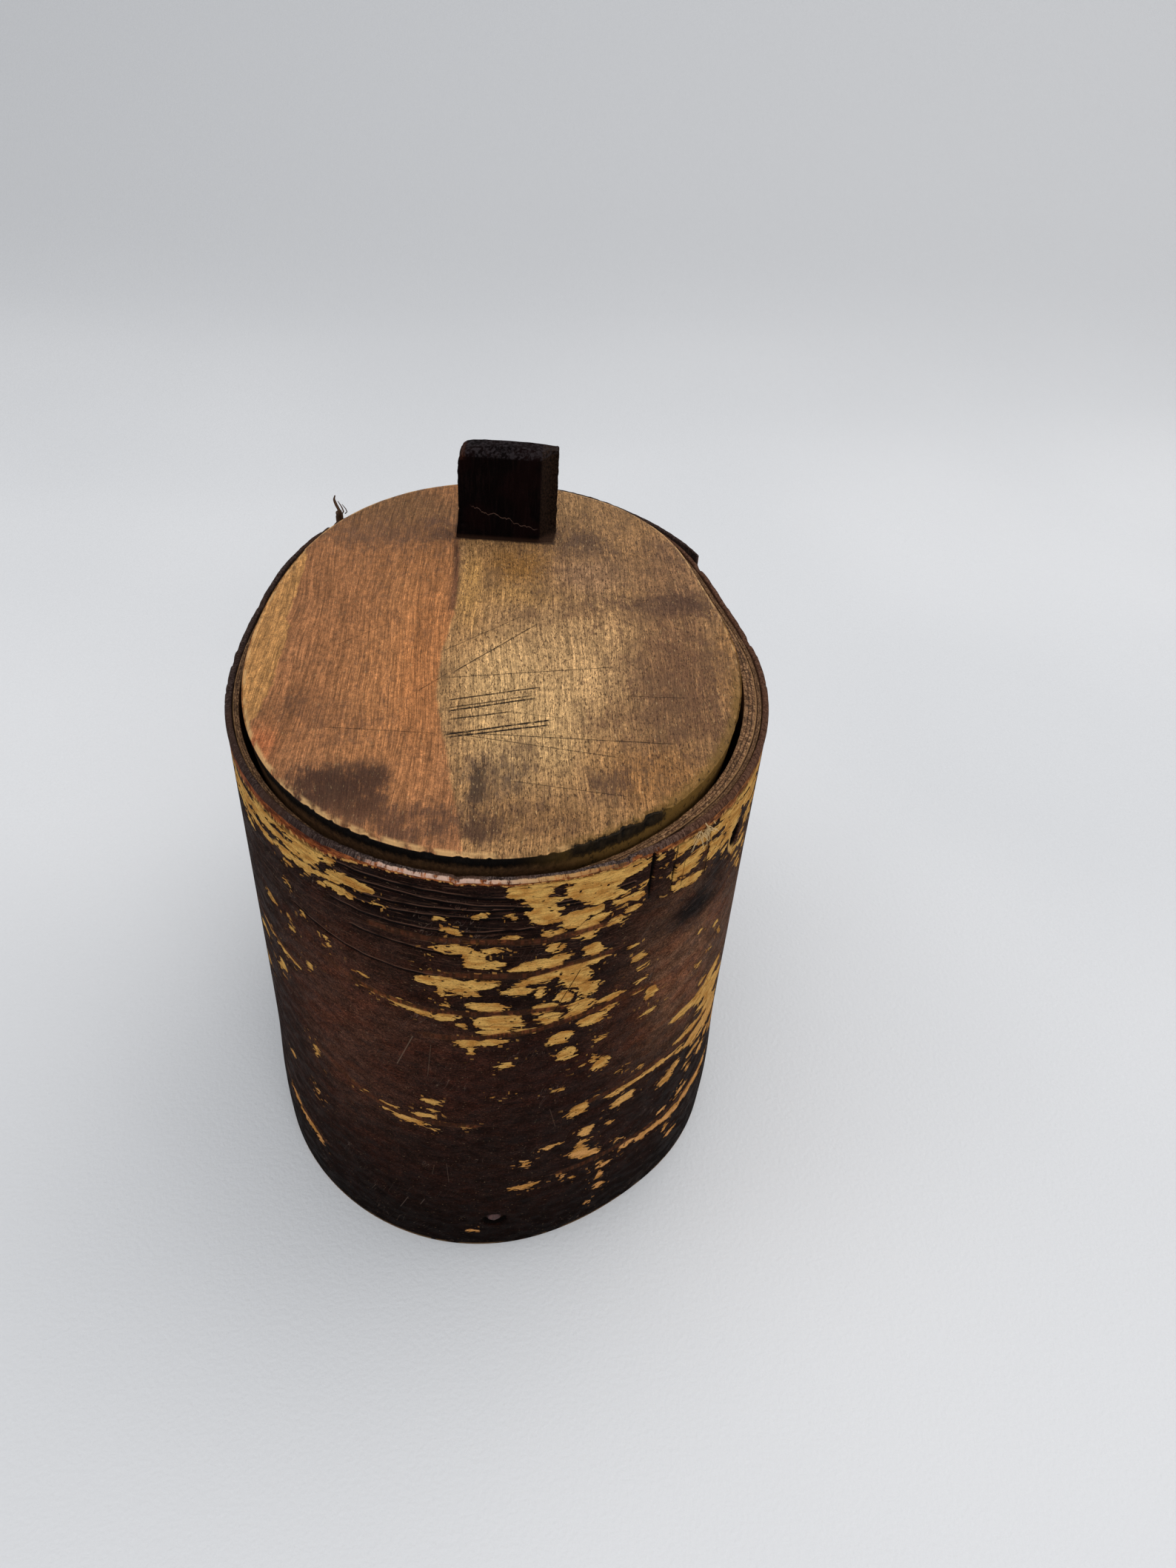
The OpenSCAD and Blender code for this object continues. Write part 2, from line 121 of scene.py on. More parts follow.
# How far the lobes move the middle of the oval in x and y; the CAD centres it.
LOBE_SHIFT = [LOBE * (cosd(3 * (p - LOBE_AT)) - cosd(3 * (q - LOBE_AT))) / 2
              for p, q in ((0, 180), (90, -90))]


def wall_point(a, off, z):
    """Points that lie off millimetres outside the wall's face, as an array with x, y, z last."""
    a, off, z = np.broadcast_arrays(np.asarray(a, float), off, z)
    r = face_r(a, z) + off
    return np.stack([r * cosd(a) - LOBE_SHIFT[0], r * sind(a) - LOBE_SHIFT[1] - SEAM_SHIFT, z], -1)


def rim_z(a):
    return WALL_H + RIM_WAVE * (cosd(2 * (a - 15)) - cosd(a - 90)) / 2


def sheet_t(u, turn, t):
    from_end = np.minimum(u, turn - u) * math.pi / 180 * RIM_W / 2
    return SHAVED_T + (t - SHAVED_T) * smooth(from_end / SHAVED_END)


def lining_t(u):
    swell = np.exp(-(((u - LINING_TURN + SWELL_FROM_END) / SWELL_SPREAD) ** 2))
    return LINING_THIN + (LINING_THICK - LINING_THIN) * u / LINING_TURN + LINING_SWELL * swell


def layers(a):
    u = (a - LINING_OUT_END) % 360
    return (lining_t(u) + (LINING_THIN + SHEET_GAP) * smooth((u - 360 + STEP_OVER) / STEP_OVER)
            + (lining_t(np.minimum(u + 360, LINING_TURN)) + SHEET_GAP)
            * smooth((LINING_TURN - 360 + STEP_OVER - u) / STEP_OVER))


def lid_point(a, inset, z):
    gap = LID_GAP + sum(k * bump(a, at, spread) for k, at, spread in LID_SLACK)
    off = -LINING_FACE - layers(a) - gap + LID_TAPER * LID_PROUD - inset
    return wall_point(a, off - (face_r(a, z) - face_r(a, WALL_H)), z)


# Length along the wall from the front, for every unwrapped angle that the sheets use.
_ARC_A = np.arange(-420, 420, 0.1)
_ARC_P = wall_point(_ARC_A, 0, 80.0)
_ARC_S = np.concatenate([[0], np.cumsum(np.linalg.norm(np.diff(_ARC_P, axis=0), axis=1))])
_ARC_S -= np.interp(-90, _ARC_A, _ARC_S)


def arc_s(a):
    return np.interp(a, _ARC_A, _ARC_S)


def arc_a(s):
    return np.interp(s, _ARC_S, _ARC_A)


# ---- Noise in numpy, the same on every run ----


def _lattice(ix, iy, iz, seed):
    h = (ix * 374761393 + iy * 668265263 + iz * 1442695041 + seed * 974634777) & 0xFFFFFFFF
    h = ((h ^ (h >> 13)) * 1274126177) & 0xFFFFFFFF
    return ((h ^ (h >> 16)) & 0xFFFF) / 65535.0


def noise(x, y, z=0.0, seed=0, octaves=1):
    """Smooth noise from 0 to 1 about 0.5; one unit is one cell."""
    x, y, z = np.broadcast_arrays(np.asarray(x, float), y, z)
    total, weight = 0.0, 0.0
    for o in range(octaves):
        k = 2**o
        p = [np.floor(c * k).astype(np.int64) for c in (x, y, z)]
        f = [smooth(c * k - q) for c, q in zip((x, y, z), p)]
        value = 0.0
        for dx in (0, 1):
            for dy in (0, 1):
                for dz in (0, 1):
                    w = ((f[0] if dx else 1 - f[0]) * (f[1] if dy else 1 - f[1])
                         * (f[2] if dz else 1 - f[2]))
                    value = value + w * _lattice(p[0] + dx, p[1] + dy, p[2] + dz, seed + 17 * o)
        total, weight = total + value / k, weight + 1 / k
    return total / weight


# ---- Meshes ----


def new_object(name, verts, faces, sharp=40):
    mesh = bpy.data.meshes.new(name)
    mesh.from_pydata((np.asarray(verts, float) * MM).tolist(), [], faces)
    mesh.polygons.foreach_set("use_smooth", [True] * len(mesh.polygons))
    mesh.set_sharp_from_angle(angle=math.radians(sharp))
    mesh.update()
    obj = bpy.data.objects.new(name, mesh)
    bpy.context.scene.collection.objects.link(obj)
    return obj


def grid_object(name, pts, close_u=False, close_v=False, cap_u=False, cap_v=False, sharp=40):
    """A mesh from a grid of points, u by v. The caps close the open ends of u or of v."""
    nu, nv = pts.shape[:2]
    iu = np.arange(nu if close_u else nu - 1)
    iv = np.arange(nv if close_v else nv - 1)
    a, b = np.meshgrid(iu, iv, indexing="ij")
    a2, b2 = (a + 1) % nu, (b + 1) % nv
    quads = np.stack([a * nv + b, a2 * nv + b, a2 * nv + b2, a * nv + b2], -1).reshape(-1, 4)
    verts = pts.reshape(-1, 3)
    # Turn the faces outwards: the signed volume of the grid, seen from its middle, is positive.
    mid = verts.mean(0)
    p, q, r, s = (verts[quads[:, i]] - mid for i in range(4))
    outwards = (np.einsum("ij,ij->i", p, np.cross(q, r)) + np.einsum("ij,ij->i", p, np.cross(r, s))).sum() > 0
    faces = quads.tolist()
    if cap_u:
        faces += [list(range(nv))[::-1], [(nu - 1) * nv + j for j in range(nv)]]
    if cap_v:
        faces += [[i * nv for i in range(nu)], [i * nv + nv - 1 for i in range(nu)][::-1]]
    if not outwards:
        faces = [f[::-1] for f in faces]
    return new_object(name, verts, faces, sharp)


def set_attr(obj, name, values):
    """Stores three numbers a vertex, for the materials."""
    data = obj.data.attributes.new(name, "FLOAT_VECTOR", "POINT").data
    data.foreach_set("vector", np.ascontiguousarray(values, np.float32).ravel())


def finish_piece(obj, body, slot, material, *stands_for):
    obj.data.materials.clear()
    obj.data.materials.append(material)
    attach(obj, body)
    if stands_for:
        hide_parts(*stands_for)
    return obj


def sweep(name, path, widths, thicks, out_dirs, sides=10, rough=0.0, seed=1, sharp=60):
    """A strip swept along a path. widths and thicks are its section, out_dirs its flat side's way."""
    path, out = np.asarray(path, float), np.asarray(out_dirs, float)
    along = np.gradient(path, axis=0)
    along /= np.linalg.norm(along, axis=1)[:, None]
    out = out - along * (out * along).sum(1)[:, None]
    out /= np.linalg.norm(out, axis=1)[:, None]
    side = np.cross(along, out)
    b = np.linspace(0, 2 * math.pi, sides, endpoint=False)
    c, s = np.cos(b), np.sin(b)
    run = np.concatenate([[0], np.cumsum(np.linalg.norm(np.diff(path, axis=0), axis=1))])
    k = 1 - rough * noise(run[:, None] / 1.6, c[None, :] * 1.5, s[None, :] * 1.5, seed, 2)
    pts = (path[:, None] + side[:, None] * (c * k * np.asarray(widths)[:, None] / 2)[..., None]
           + out[:, None] * (s * k * np.asarray(thicks)[:, None] / 2)[..., None])
    obj = grid_object(name, pts, close_v=True, cap_u=True, sharp=sharp)
    set_attr(obj, "strip", np.stack(np.broadcast_arrays(run[:, None], b[None, :] * 180 / math.pi, 0.0), -1))
    return obj


# ---- Material graphs ----


def linear(c):
    return c / 255 / 12.92 if c <= 10 else ((c / 255 + 0.055) / 1.055) ** 2.4


def srgb(r, g, b):
    """The linear colour, with alpha, of a screen colour in 0 to 255."""
    return linear(r), linear(g), linear(b), 1.0


class Graph:
    """A node material with short calls for the nodes used here."""

    def __init__(self, name):
        self.mat = bpy.data.materials.new(name)
        self.mat.use_nodes = True
        self.nodes, self.links = self.mat.node_tree.nodes, self.mat.node_tree.links
        self.bsdf = self.nodes["Principled BSDF"]

    def node(self, kind, **props):
        n = self.nodes.new("ShaderNode" + kind)
        for k, v in props.items():
            setattr(n, k, v)
        return n

    def put(self, socket, value):
        if isinstance(value, bpy.types.NodeSocket):
            self.links.new(value, socket)
        elif value is not None:
            socket.default_value = value

    def math(self, op, a, b=None, c=None):
        n = self.node("Math", operation=op)
        for socket, v in zip(n.inputs, (a, b, c)):
            self.put(socket, v)
        return n.outputs[0]

    def add(self, *terms):
        total = terms[0]
        for t in terms[1:]:
            total = self.math("ADD", total, t)
        return total

    def sub(self, a, b):
        return self.math("SUBTRACT", a, b)

    def mul(self, *terms):
        total = terms[0]
        for t in terms[1:]:
            total = self.math("MULTIPLY", total, t)
        return total

    def weighed(self, *pairs):
        """The sum of values, each times its weight."""
        return self.add(*[self.mul(value, weight) for value, weight in pairs])

    def attr(self, name):
        return self.node("Attribute", attribute_name=name).outputs["Vector"]

    def split(self, vector):
        n = self.node("SeparateXYZ")
        self.put(n.inputs[0], vector)
        return n.outputs

    def coord(self):
        """The point in the CAD frame, in mm."""
        return self.scaled(self.node("TexCoord").outputs["Object"], 1000, 1000, 1000)

    def scaled(self, vector, x, y, z, turn=0.0):
        n = self.node("Mapping", vector_type="POINT")
        self.put(n.inputs["Vector"], vector)
        n.inputs["Scale"].default_value = (x, y, z)
        n.inputs["Rotation"].default_value = (0, 0, math.radians(turn))
        return n.outputs[0]

    def noise(self, vector, x=1.0, y=1.0, z=1.0, detail=2.0, rough=0.5, bend=0.0, turn=0.0, shift=None):
        """Noise with x, y and z cells a millimetre."""
        n = self.node("TexNoise")
        if turn:
            vector = self.scaled(vector, 1, 1, 1, turn)
        v = self.scaled(vector, x, y, z)
        if shift:
            m = self.node("VectorMath", operation="ADD")
            self.put(m.inputs[0], v)
            m.inputs[1].default_value = (shift, shift * 1.7, shift * 2.3)
            v = m.outputs[0]
        self.put(n.inputs["Vector"], v)
        n.inputs["Scale"].default_value = 1.0
        n.inputs["Detail"].default_value = detail
        n.inputs["Roughness"].default_value = rough
        n.inputs["Distortion"].default_value = bend
        return n.outputs["Fac"]

    def vector(self, x, y, z):
        n = self.node("CombineXYZ")
        for socket, v in zip(n.inputs, (x, y, z)):
            self.put(socket, v)
        return n.outputs[0]

    def signed(self, vector, x, y, z=1.0, **look):
        """Noise about 0."""
        return self.sub(self.noise(vector, x, y, z, **look), 0.5)

    def cells(self, vector, x, y, lo, hi, z=1.0, **look):
        """Noise with x, y and z cells a millimetre, stretched so that lo becomes 0 and hi 1."""
        return self.step(self.noise(vector, x, y, z, **look), lo, hi)

    def near(self, x, at, reach, core):
        """1 where x is within core of at, and 0 past reach."""
        return self.step(self.math("ABSOLUTE", self.sub(x, at)), reach, core)

    def square(self, x):
        return self.mul(x, x)

    def step(self, x, lo, hi, to_lo=0.0, to_hi=1.0):
        """Smooth step: to_lo where x is lo, to_hi where x is hi. hi may be the smaller."""
        n = self.node("MapRange", interpolation_type="SMOOTHSTEP")
        for socket, v in zip(n.inputs, (x, lo, hi, to_lo, to_hi)):
            self.put(socket, v)
        return n.outputs[0]

    def ramp(self, fac, *stops):
        n = self.node("ValToRGB")
        self.put(n.inputs[0], fac)
        e = n.color_ramp.elements
        while len(e) < len(stops):
            e.new(0.5)
        for el, (pos, colour) in zip(e, stops):
            el.position, el.color = pos, colour
        return n.outputs[0]

    def tones(self, fac, *stops):
        """A ramp whose stops are each a position and a screen colour in 0 to 255."""
        return self.ramp(fac, *[(at, srgb(*colour)) for at, *colour in stops])

    def mix(self, fac, a, b, blend="MIX"):
        n = self.node("Mix", data_type="RGBA", blend_type=blend)
        self.put(n.inputs[0], fac)
        self.put(n.inputs[6], a)
        self.put(n.inputs[7], b)
        return n.outputs[2]

    def paint(self, colour, fac, red, green, blue):
        """Lays a colour over another where fac is 1."""
        return self.mix(fac, colour, srgb(red, green, blue))

    def shade(self, colour, fac, lo, hi):
        """Multiplies a colour by a grey that runs from lo to hi as fac runs from 0 to 1."""
        return self.mix(1.0, colour, self.ramp(fac, (0, (lo, lo, lo, 1)), (1, (hi, hi, hi, 1))), "MULTIPLY")

    def segment(self, x, y, p, q, width, fade=0.5):
        """1 on the thin line from p to q, which fades at its ends, and 0 off it."""
        (x0, y0), (x1, y1) = p, q
        length = math.hypot(x1 - x0, y1 - y0)
        ux, uy = (x1 - x0) / length, (y1 - y0) / length
        along = self.add(self.math("MULTIPLY_ADD", x, ux, -x0 * ux - y0 * uy), self.mul(y, uy))
        off = self.add(self.math("MULTIPLY_ADD", x, -uy, x0 * uy - y0 * ux), self.mul(y, ux))
        on = self.step(self.math("ABSOLUTE", off), width, width * 0.35)
        ends = self.mul(self.step(along, 0.0, fade), self.step(along, length, length - fade))
        return self.mul(on, ends)

    def strongest(self, *terms):
        total = terms[0]
        for t in terms[1:]:
            total = self.math("MAXIMUM", total, t)
        return total

    def done(self, colour, rough, height=None, depth=0.2, gloss=0.5):
        """depth is the height of the relief in mm."""
        self.put(self.bsdf.inputs["Base Color"], colour)
        self.put(self.bsdf.inputs["Roughness"], rough)
        self.bsdf.inputs["Specular IOR Level"].default_value = gloss
        if height is not None:
            n = self.node("Bump")
            n.inputs["Strength"].default_value = 1.0
            n.inputs["Distance"].default_value = depth * MM
            self.put(n.inputs["Height"], height)
            self.put(self.bsdf.inputs["Normal"], n.outputs[0])
        return self.mat


# ---- The flaked patches and lines of the bark ----

# Each patch: s, z, half its length, half its height, and its tilt in degrees where it has one.
PATCHES = [
    # right of the front, under the rim
    (5.5, 119.8, 4, 2.2), (8.5, 117, 3.5, 1, 5), (17, 118.5, 5.5, 2.6), (22, 120.3, 4.5, 2.2),
    (14, 121.4, 7, 0.8), (18.5, 115.3, 4.5, 1.2, -5), (23.5, 112.5, 3.5, 0.9), (8.2, 114, 2.7, 3),
    (13.5, 111.5, 2.6, 2.4, 20), (16.5, 112.5, 2.5, 1.2), (16, 107.9, 2.3, 2.3, 10),
    (17.8, 110.5, 2.2, 0.9), (24.5, 109.5, 2, 0.8, 5), (21.3, 107.8, 1.2, 0.8), (26.5, 114.9, 1, 0.6),
    (10.2, 105, 1.6, 1), (10, 108.8, 2.5, 0.8, 5), (2.3, 108.6, 1.6, 0.8, 10), (2.7, 113.6, 0.8, 0.7),
    (-3, 114.2, 1.6, 0.6, 20), (-7.8, 110, 1.8, 0.6),
    # middle of the front
    (-7.5, 105.4, 3.8, 1), (-4, 103.5, 2, 2), (-2, 101.5, 4, 1.2), (-0.5, 105.2, 1.6, 0.7),
    (-4, 107.5, 1.6, 0.5), (-11.7, 102.9, 0.7, 0.4), (-11.8, 99.2, 0.9, 0.4), (8, 101, 5.5, 1.5, 10),
    (17.5, 102, 1.8, 2.2, 30), (15, 98.7, 5.5, 1, 3), (14.5, 95.5, 3, 3.2, 20), (8, 97, 4, 1.1, 8),
    (3.8, 93.9, 2.8, 1.2), (7.6, 93.2, 0.9, 1.6, -30), (-9.5, 96, 5, 1.4), (-3, 96, 3.5, 1.3),
    (-9.8, 92.9, 1, 1.6), (-5.3, 93.9, 2.2, 1.2), (-1.5, 89.6, 3.2, 1.3), (-9, 89.7, 0.9, 0.4),
    (17, 91.3, 2, 2.2, 60), (12.5, 90.5, 1.8, 1.6, 10), (9.3, 88, 2.5, 1.3, 5), (16, 86.7, 3.2, 1.6, -5),
    (21.8, 85.8, 2.8, 0.9, 5), (15, 84.3, 2, 1.5), (10, 84.6, 2.4, 1.6), (0.5, 84.9, 4.8, 2.4),
    (0, 82.2, 3, 1), (5.3, 81.8, 2, 0.7, 10), (-17.5, 87.5, 3.5, 1, -8), (-13.5, 86.4, 2.6, 1, -5),
    (-8.8, 85.9, 2.2, 1.2), (-6.4, 84, 1.6, 0.8), (-23, 88.6, 3, 0.45, -12), (-5, 78.5, 2.6, 1.3),
    (-0.8, 79, 2.8, 1, 5), (-4.5, 76.2, 1, 1.2, 20), (12.5, 77.8, 2.5, 1.8, 30), (18.5, 80.8, 3, 1.6),
    (22, 82.6, 1.2, 0.8), (13.8, 72, 2.6, 1.7, 40), (1.8, 71.3, 1.8, 0.9, 30), (20.8, 73.5, 0.9, 0.8),
    (21.5, 64.3, 1.7, 2), (19.8, 67.2, 0.6, 1), (17.3, 65.8, 0.6, 0.5), (28.8, 83.5, 2, 0.8, -10),
    (31.9, 81, 1.8, 1.8, 30), (32.3, 74.2, 2.2, 0.6, -3), (31.2, 79, 1, 0.8), (28.8, 86.7, 1.2, 0.4),
    (29.2, 90.9, 1.4, 0.5, -5), (27.2, 94.5, 1.6, 1), (25.8, 98.7, 1.1, 0.5),
    # lower front
    (-12.7, 57.5, 2.2, 0.9, -2), (-12.4, 54.3, 1, 0.5), (-14.3, 51.9, 1.8, 0.8, 10), (-22, 51.7, 1.8, 0.45),
    (-17.2, 49, 4.2, 0.9, -4), (-21, 49.6, 1.6, 0.4, -10), (-12, 47.5, 1, 0.35), (-5.8, 50, 1.3, 0.5),
    (-27.5, 52.5, 0.9, 0.6), (-0.3, 60.5, 0.8, 0.6), (3, 60.8, 0.7, 0.3), (12.5, 59.9, 1.4, 0.5, 10),
    (17.5, 49.8, 2.6, 2.2, 30), (21.2, 52.1, 0.8, 0.35, 20), (28.5, 50.2, 5, 0.8, 3),
    (28.7, 45.8, 3.2, 1.4, 5), (19.8, 39.8, 1.8, 1.6, 20), (11.8, 38.6, 2, 0.7, 8),
    (18.6, 35.6, 1.4, 0.8, 5), (18.5, 32.5, 2.2, 2, -20), (20.8, 30, 3, 1.4, -15), (6.3, 25, 3, 1, 5),
    (6.4, 34, 0.45, 1), (25.5, 22, 1.6, 0.6), (24, 23.5, 0.9, 0.5), (24.3, 18.3, 1, 1.2),
    (24.2, 13.5, 1, 1.6, 10), (21.5, 7.6, 1.1, 0.7), (-4.5, 7, 1.4, 0.5), (15.3, 25, 0.8, 0.6),
    (17.5, 23, 0.7, 0.4), (26.5, 57.7, 0.8, 0.4), (32.2, 54.6, 0.7, 0.7, 20), (25.4, 38.7, 0.5, 1.1),
    # left
    (-37, 119.5, 4, 1.4), (-50, 116.5, 8, 1.2, -6), (-45, 118.5, 5, 0.8), (-37.5, 115.8, 4.5, 1.2),
    (-36, 113.3, 3.5, 0.8), (-47, 112.8, 3.5, 0.7, -10), (-40.5, 110.8, 1.8, 0.5), (-25.5, 115.6, 5, 1.3),
    (-28, 112.5, 3.2, 0.9, -3), (-34.5, 117.2, 3, 1.6), (-32, 119.5, 3.5, 1.2, -20),
    (-41.2, 104.9, 0.8, 0.4, -30), (-49.5, 95, 1.6, 0.7, -20), (-43.2, 94.8, 0.7, 0.3),
    (-42.7, 91.6, 1, 0.4), (-46, 81, 4, 0.8, -3), (-51.5, 82, 5, 0.5, -3), (-37.8, 84.8, 0.7, 0.8),
    (-49.3, 74.5, 1.3, 1.6, 10), (-51, 72, 1, 0.8), (-40.7, 54.8, 0.7, 2, 5), (-42, 37.5, 0.5, 1.1),
    (-52.5, 39.8, 1.3, 0.7, 30), (-54, 21, 3, 1.4, -5), (-48, 18.8, 3.6, 1.2, -8), (-43.8, 17, 1.3, 1.3),
    (-60, 113, 6, 1, -12), (-63, 118, 5, 1.1, -4), (-58, 77, 3, 1.2), (-57, 116, 5, 2, -4),
    (-52, 113.4, 4.5, 0.9, -8), (-44, 116.2, 6, 0.9, -2), (-40, 113.4, 4, 0.7), (-54, 110.4, 2.4, 0.8, -14),
    (-48, 119.8, 5, 1), (-30, 114.2, 3, 0.5), (-41, 121, 6, 0.8), (-20.6, 112.6, 1, 0.5),
    (-9, 112.6, 1.2, 0.4, 10), (-31.5, 111.6, 0.8, 0.6), (-24.5, 92, 0.8, 0.4),
    (-41.8, 105.2, 0.8, 0.5, -30), (-38.2, 99.4, 0.5, 0.4), (-32.4, 96.4, 0.3, 1, 20),
    (-49, 94.6, 1.8, 0.9, -20),
    # right
    (56, 119.5, 7, 1.6, -6), (58.5, 115, 6, 1.8, -12), (48, 118.6, 4, 1.2, -14), (52, 121.5, 6, 0.7),
    (59, 109, 3, 2, -30), (57, 106, 2, 0.8, -20), (55.5, 100.8, 1.4, 0.7, -20), (59, 95, 1.8, 0.8, -30),
    (61, 99, 1.8, 0.8, -30), (47.8, 108.6, 1.1, 0.6), (41.2, 114.6, 2.4, 0.8), (38.6, 108.6, 2.6, 1.2, -4),
    (33.4, 118.6, 1, 1.4), (29.4, 119.6, 1.2, 0.6), (30.6, 122, 2, 0.5), (38.8, 115.6, 1.4, 0.5),
    (51, 85, 1, 0.6, -30), (50, 77.6, 0.9, 0.4, -20), (54, 80, 1.2, 0.6, -40), (47, 75.8, 1, 0.8),
    (50, 67.4, 2, 1), (54, 60.6, 6, 2, -6), (58, 55.2, 4, 1.4, -14), (58.5, 47.6, 4.5, 1.8, -16),
    (55, 43.4, 4, 0.7, -8), (59.5, 38.8, 2.6, 1, -30), (50.6, 35.2, 1.2, 0.8), (50.4, 29.4, 0.9, 0.7, -10),
    (59, 57, 6, 2.8, -10), (60, 49, 6, 2.2, -12), (56.5, 66, 4, 1.6, -10), (36, 120, 3.5, 2),
    (42, 117.5, 5, 1.3, -5), (36.5, 113.5, 3.4, 2.2, 20), (35.5, 109.3, 3.2, 0.9, -6),
    (44, 112.5, 3.2, 1.6, 30), (50, 115, 3.5, 2.5, -10), (48.5, 111.5, 2.5, 1.3), (55, 116.5, 5, 1.2, -10),
    (33, 113, 1, 1.4), (31, 117, 0.9, 0.6), (48, 108.9, 1, 0.5), (53, 104.5, 2, 0.8, -10),
    (58, 103, 2.5, 1, -15), (61, 110, 4, 1.4, -8), (57.5, 97.5, 2, 0.7), (62, 118.5, 5, 1.3),
    (45, 88.9, 0.7, 0.4), (50.5, 84.8, 0.8, 0.5), (45.6, 77, 0.7, 0.5), (45, 63.2, 5.5, 1.6, -3),
    (51, 63.5, 4, 1.7), (56, 65.5, 3.5, 1.8, -10), (53, 56, 3, 1.2, -15), (60, 58.5, 3, 1.5, -10),
    (46.5, 52.7, 4.5, 1.2, -2), (52, 51.8, 4, 1), (57, 52.5, 4, 1.6, -10), (35, 50.3, 5, 0.8, 2),
    (41, 49.6, 5, 0.6, -2), (45, 48, 1.6, 0.9), (52, 47, 5, 2.3, -5), (60, 45, 5, 2.2, -6),
    (44, 43.2, 2, 1.3, 20), (41.5, 41, 2.4, 1.6, 10), (53, 40.5, 4, 0.8, -5), (48.8, 38, 1, 0.6),
    (56.5, 35.5, 2, 1.4, -20), (49, 31.5, 0.8, 0.6), (31.5, 24.8, 2.5, 1), (38, 23.6, 4.5, 1.2, -3),
    (46, 23, 4.5, 1.5), (53, 24.3, 4, 2, 4), (60, 24, 5, 1.4), (48, 28.5, 1.6, 1, 30), (41.5, 28, 1.5, 0.8),
    (46.5, 13.7, 2.2, 0.7), (43.6, 18, 0.5, 1.6, -20), (28.5, 29, 0.4, 0.8),
]

# Dark red, beaded lenticel lines and the ridges under the front rim: runs of (s, z).
LENTICELS = [
    [(-13, 79.6), (-4, 80.3), (6, 81.6), (14, 83), (22, 84), (30, 83.6), (35, 82)],
    [(-12, 98), (-4, 98.6), (6, 98.3), (14, 99.6), (21, 99.8)],
    [(-22, 107.4), (-12, 107.2), (-3, 107.8), (8, 107.2), (19, 108)],
    [(-33, 91), (-27, 89.6), (-20, 88), (-13, 87.3), (-5, 87.6), (6, 87.8), (12, 87.2)],
    [(-40, 58), (-34, 55.5), (-27, 52.2), (-21, 50.6), (-12, 49.9), (-4, 50.2)],
    [(20, 51.6), (28, 51.7), (36, 52.3), (46, 50.8), (56, 50)],
    [(14, 27), (22, 26.8), (30, 26.4), (38, 25.8), (48, 25.4), (58, 26)],
    [(36, 66), (46, 65.6), (56, 67.5), (64, 67)],
    [(-63, 82.6), (-55, 82.9), (-48, 82.2), (-42, 81.4)],
    [(-62, 23.2), (-54, 22.6), (-47, 20.6), (-42, 18.6)],
]
RIDGES = [
    [(-36, 118.9), (-24, 119.2), (-10, 119.0), (2, 118.2), (10, 117.9)],
    [(-30, 116.9), (-18, 117.3), (-4, 116.6), (8, 115.9), (24, 116.2)],
    [(-36, 114.4), (-22, 114.1), (-8, 115.1), (3, 115.5), (14, 115.1)],
    [(-32, 111.8), (-20, 112.2), (-9, 113.3), (2, 113.4)],
    [(-30, 109.5), (-18, 109.2), (-6, 109.6), (6, 110.6)],
    [(-26, 104.8), (-16, 104.2), (-6, 103.6)],
    [(-40, 100.6), (-28, 98.3), (-16, 97.2), (-10, 97.4)],
]

# Cracks, scratches and stains on the bark: two ends, half width, strength, colour.
BARK_MARKS = [
    ((41.2, 121.0), (41.5, 106.0), 0.7, 0.75, (66, 38, 20)),
    ((41.6, 116.5), (41.7, 107.0), 0.22, 0.9, (14, 9, 7)),
    ((32.9, 120.5), (32.7, 109.5), 0.24, 0.9, (16, 10, 8)),
    ((27.9, 124.0), (27.6, 110.0), 0.3, 0.9, (12, 8, 7)),
    ((15.3, 97.4), (10.6, 86.2), 0.14, 0.95, (34, 18, 12)),
    ((35.4, 117.0), (35.2, 108.5), 0.16, 0.7, (40, 24, 16)),
    ((16.2, 111.4), (14.2, 108.9), 0.12, 0.7, (92, 60, 34)),
    ((-15.4, 78.5), (-19.2, 67.5), 0.16, 0.5, (128, 106, 88)),
    ((-12.0, 77.0), (-13.0, 66.0), 0.12, 0.35, (112, 92, 76)),
    ((-18.8, 17.5), (-21.0, 11.5), 0.12, 0.45, (118, 100, 90)),
    ((-15.0, 18.6), (-16.2, 15.4), 0.12, 0.45, (118, 100, 90)),
    ((-10.0, 35.0), (-9.6, 27.0), 0.12, 0.35, (104, 84, 72)),
    ((-12.6, 33.5), (-13.2, 29.0), 0.12, 0.3, (104, 84, 72)),
    ((11.0, 54.0), (12.6, 46.0), 0.14, 0.3, (110, 86, 72)),
]


def back_patches():
    """Patches for the sides and the back, which the photograph doesn't show."""
    rng = np.random.default_rng(41)
    found = []
    for at, z, spread, rise, count in ((84, 108, 9, 9, 16), (105, 66, 12, 8, 14), (-92, 96, 12, 10, 16),
                                       (-112, 44, 10, 7, 12), (136, 100, 14, 10, 18), (160, 34, 12, 7, 12),
                                       (-150, 112, 16, 6, 16), (-172, 70, 12, 9, 14), (-200, 30, 12, 6, 10),
                                       (-215, 108, 12, 8, 14), (70, 30, 7, 5, 7), (-75, 60, 7, 8, 7)):
        for _ in range(count):
            half = rng.uniform(0.7, 4.6)
            found.append((at + rng.normal() * spread, z + rng.normal() * rise, half,
                          half * rng.uniform(0.22, 0.5), rng.uniform(-8, 8)))
    return [p for p in found if 6 < p[1] < 121]


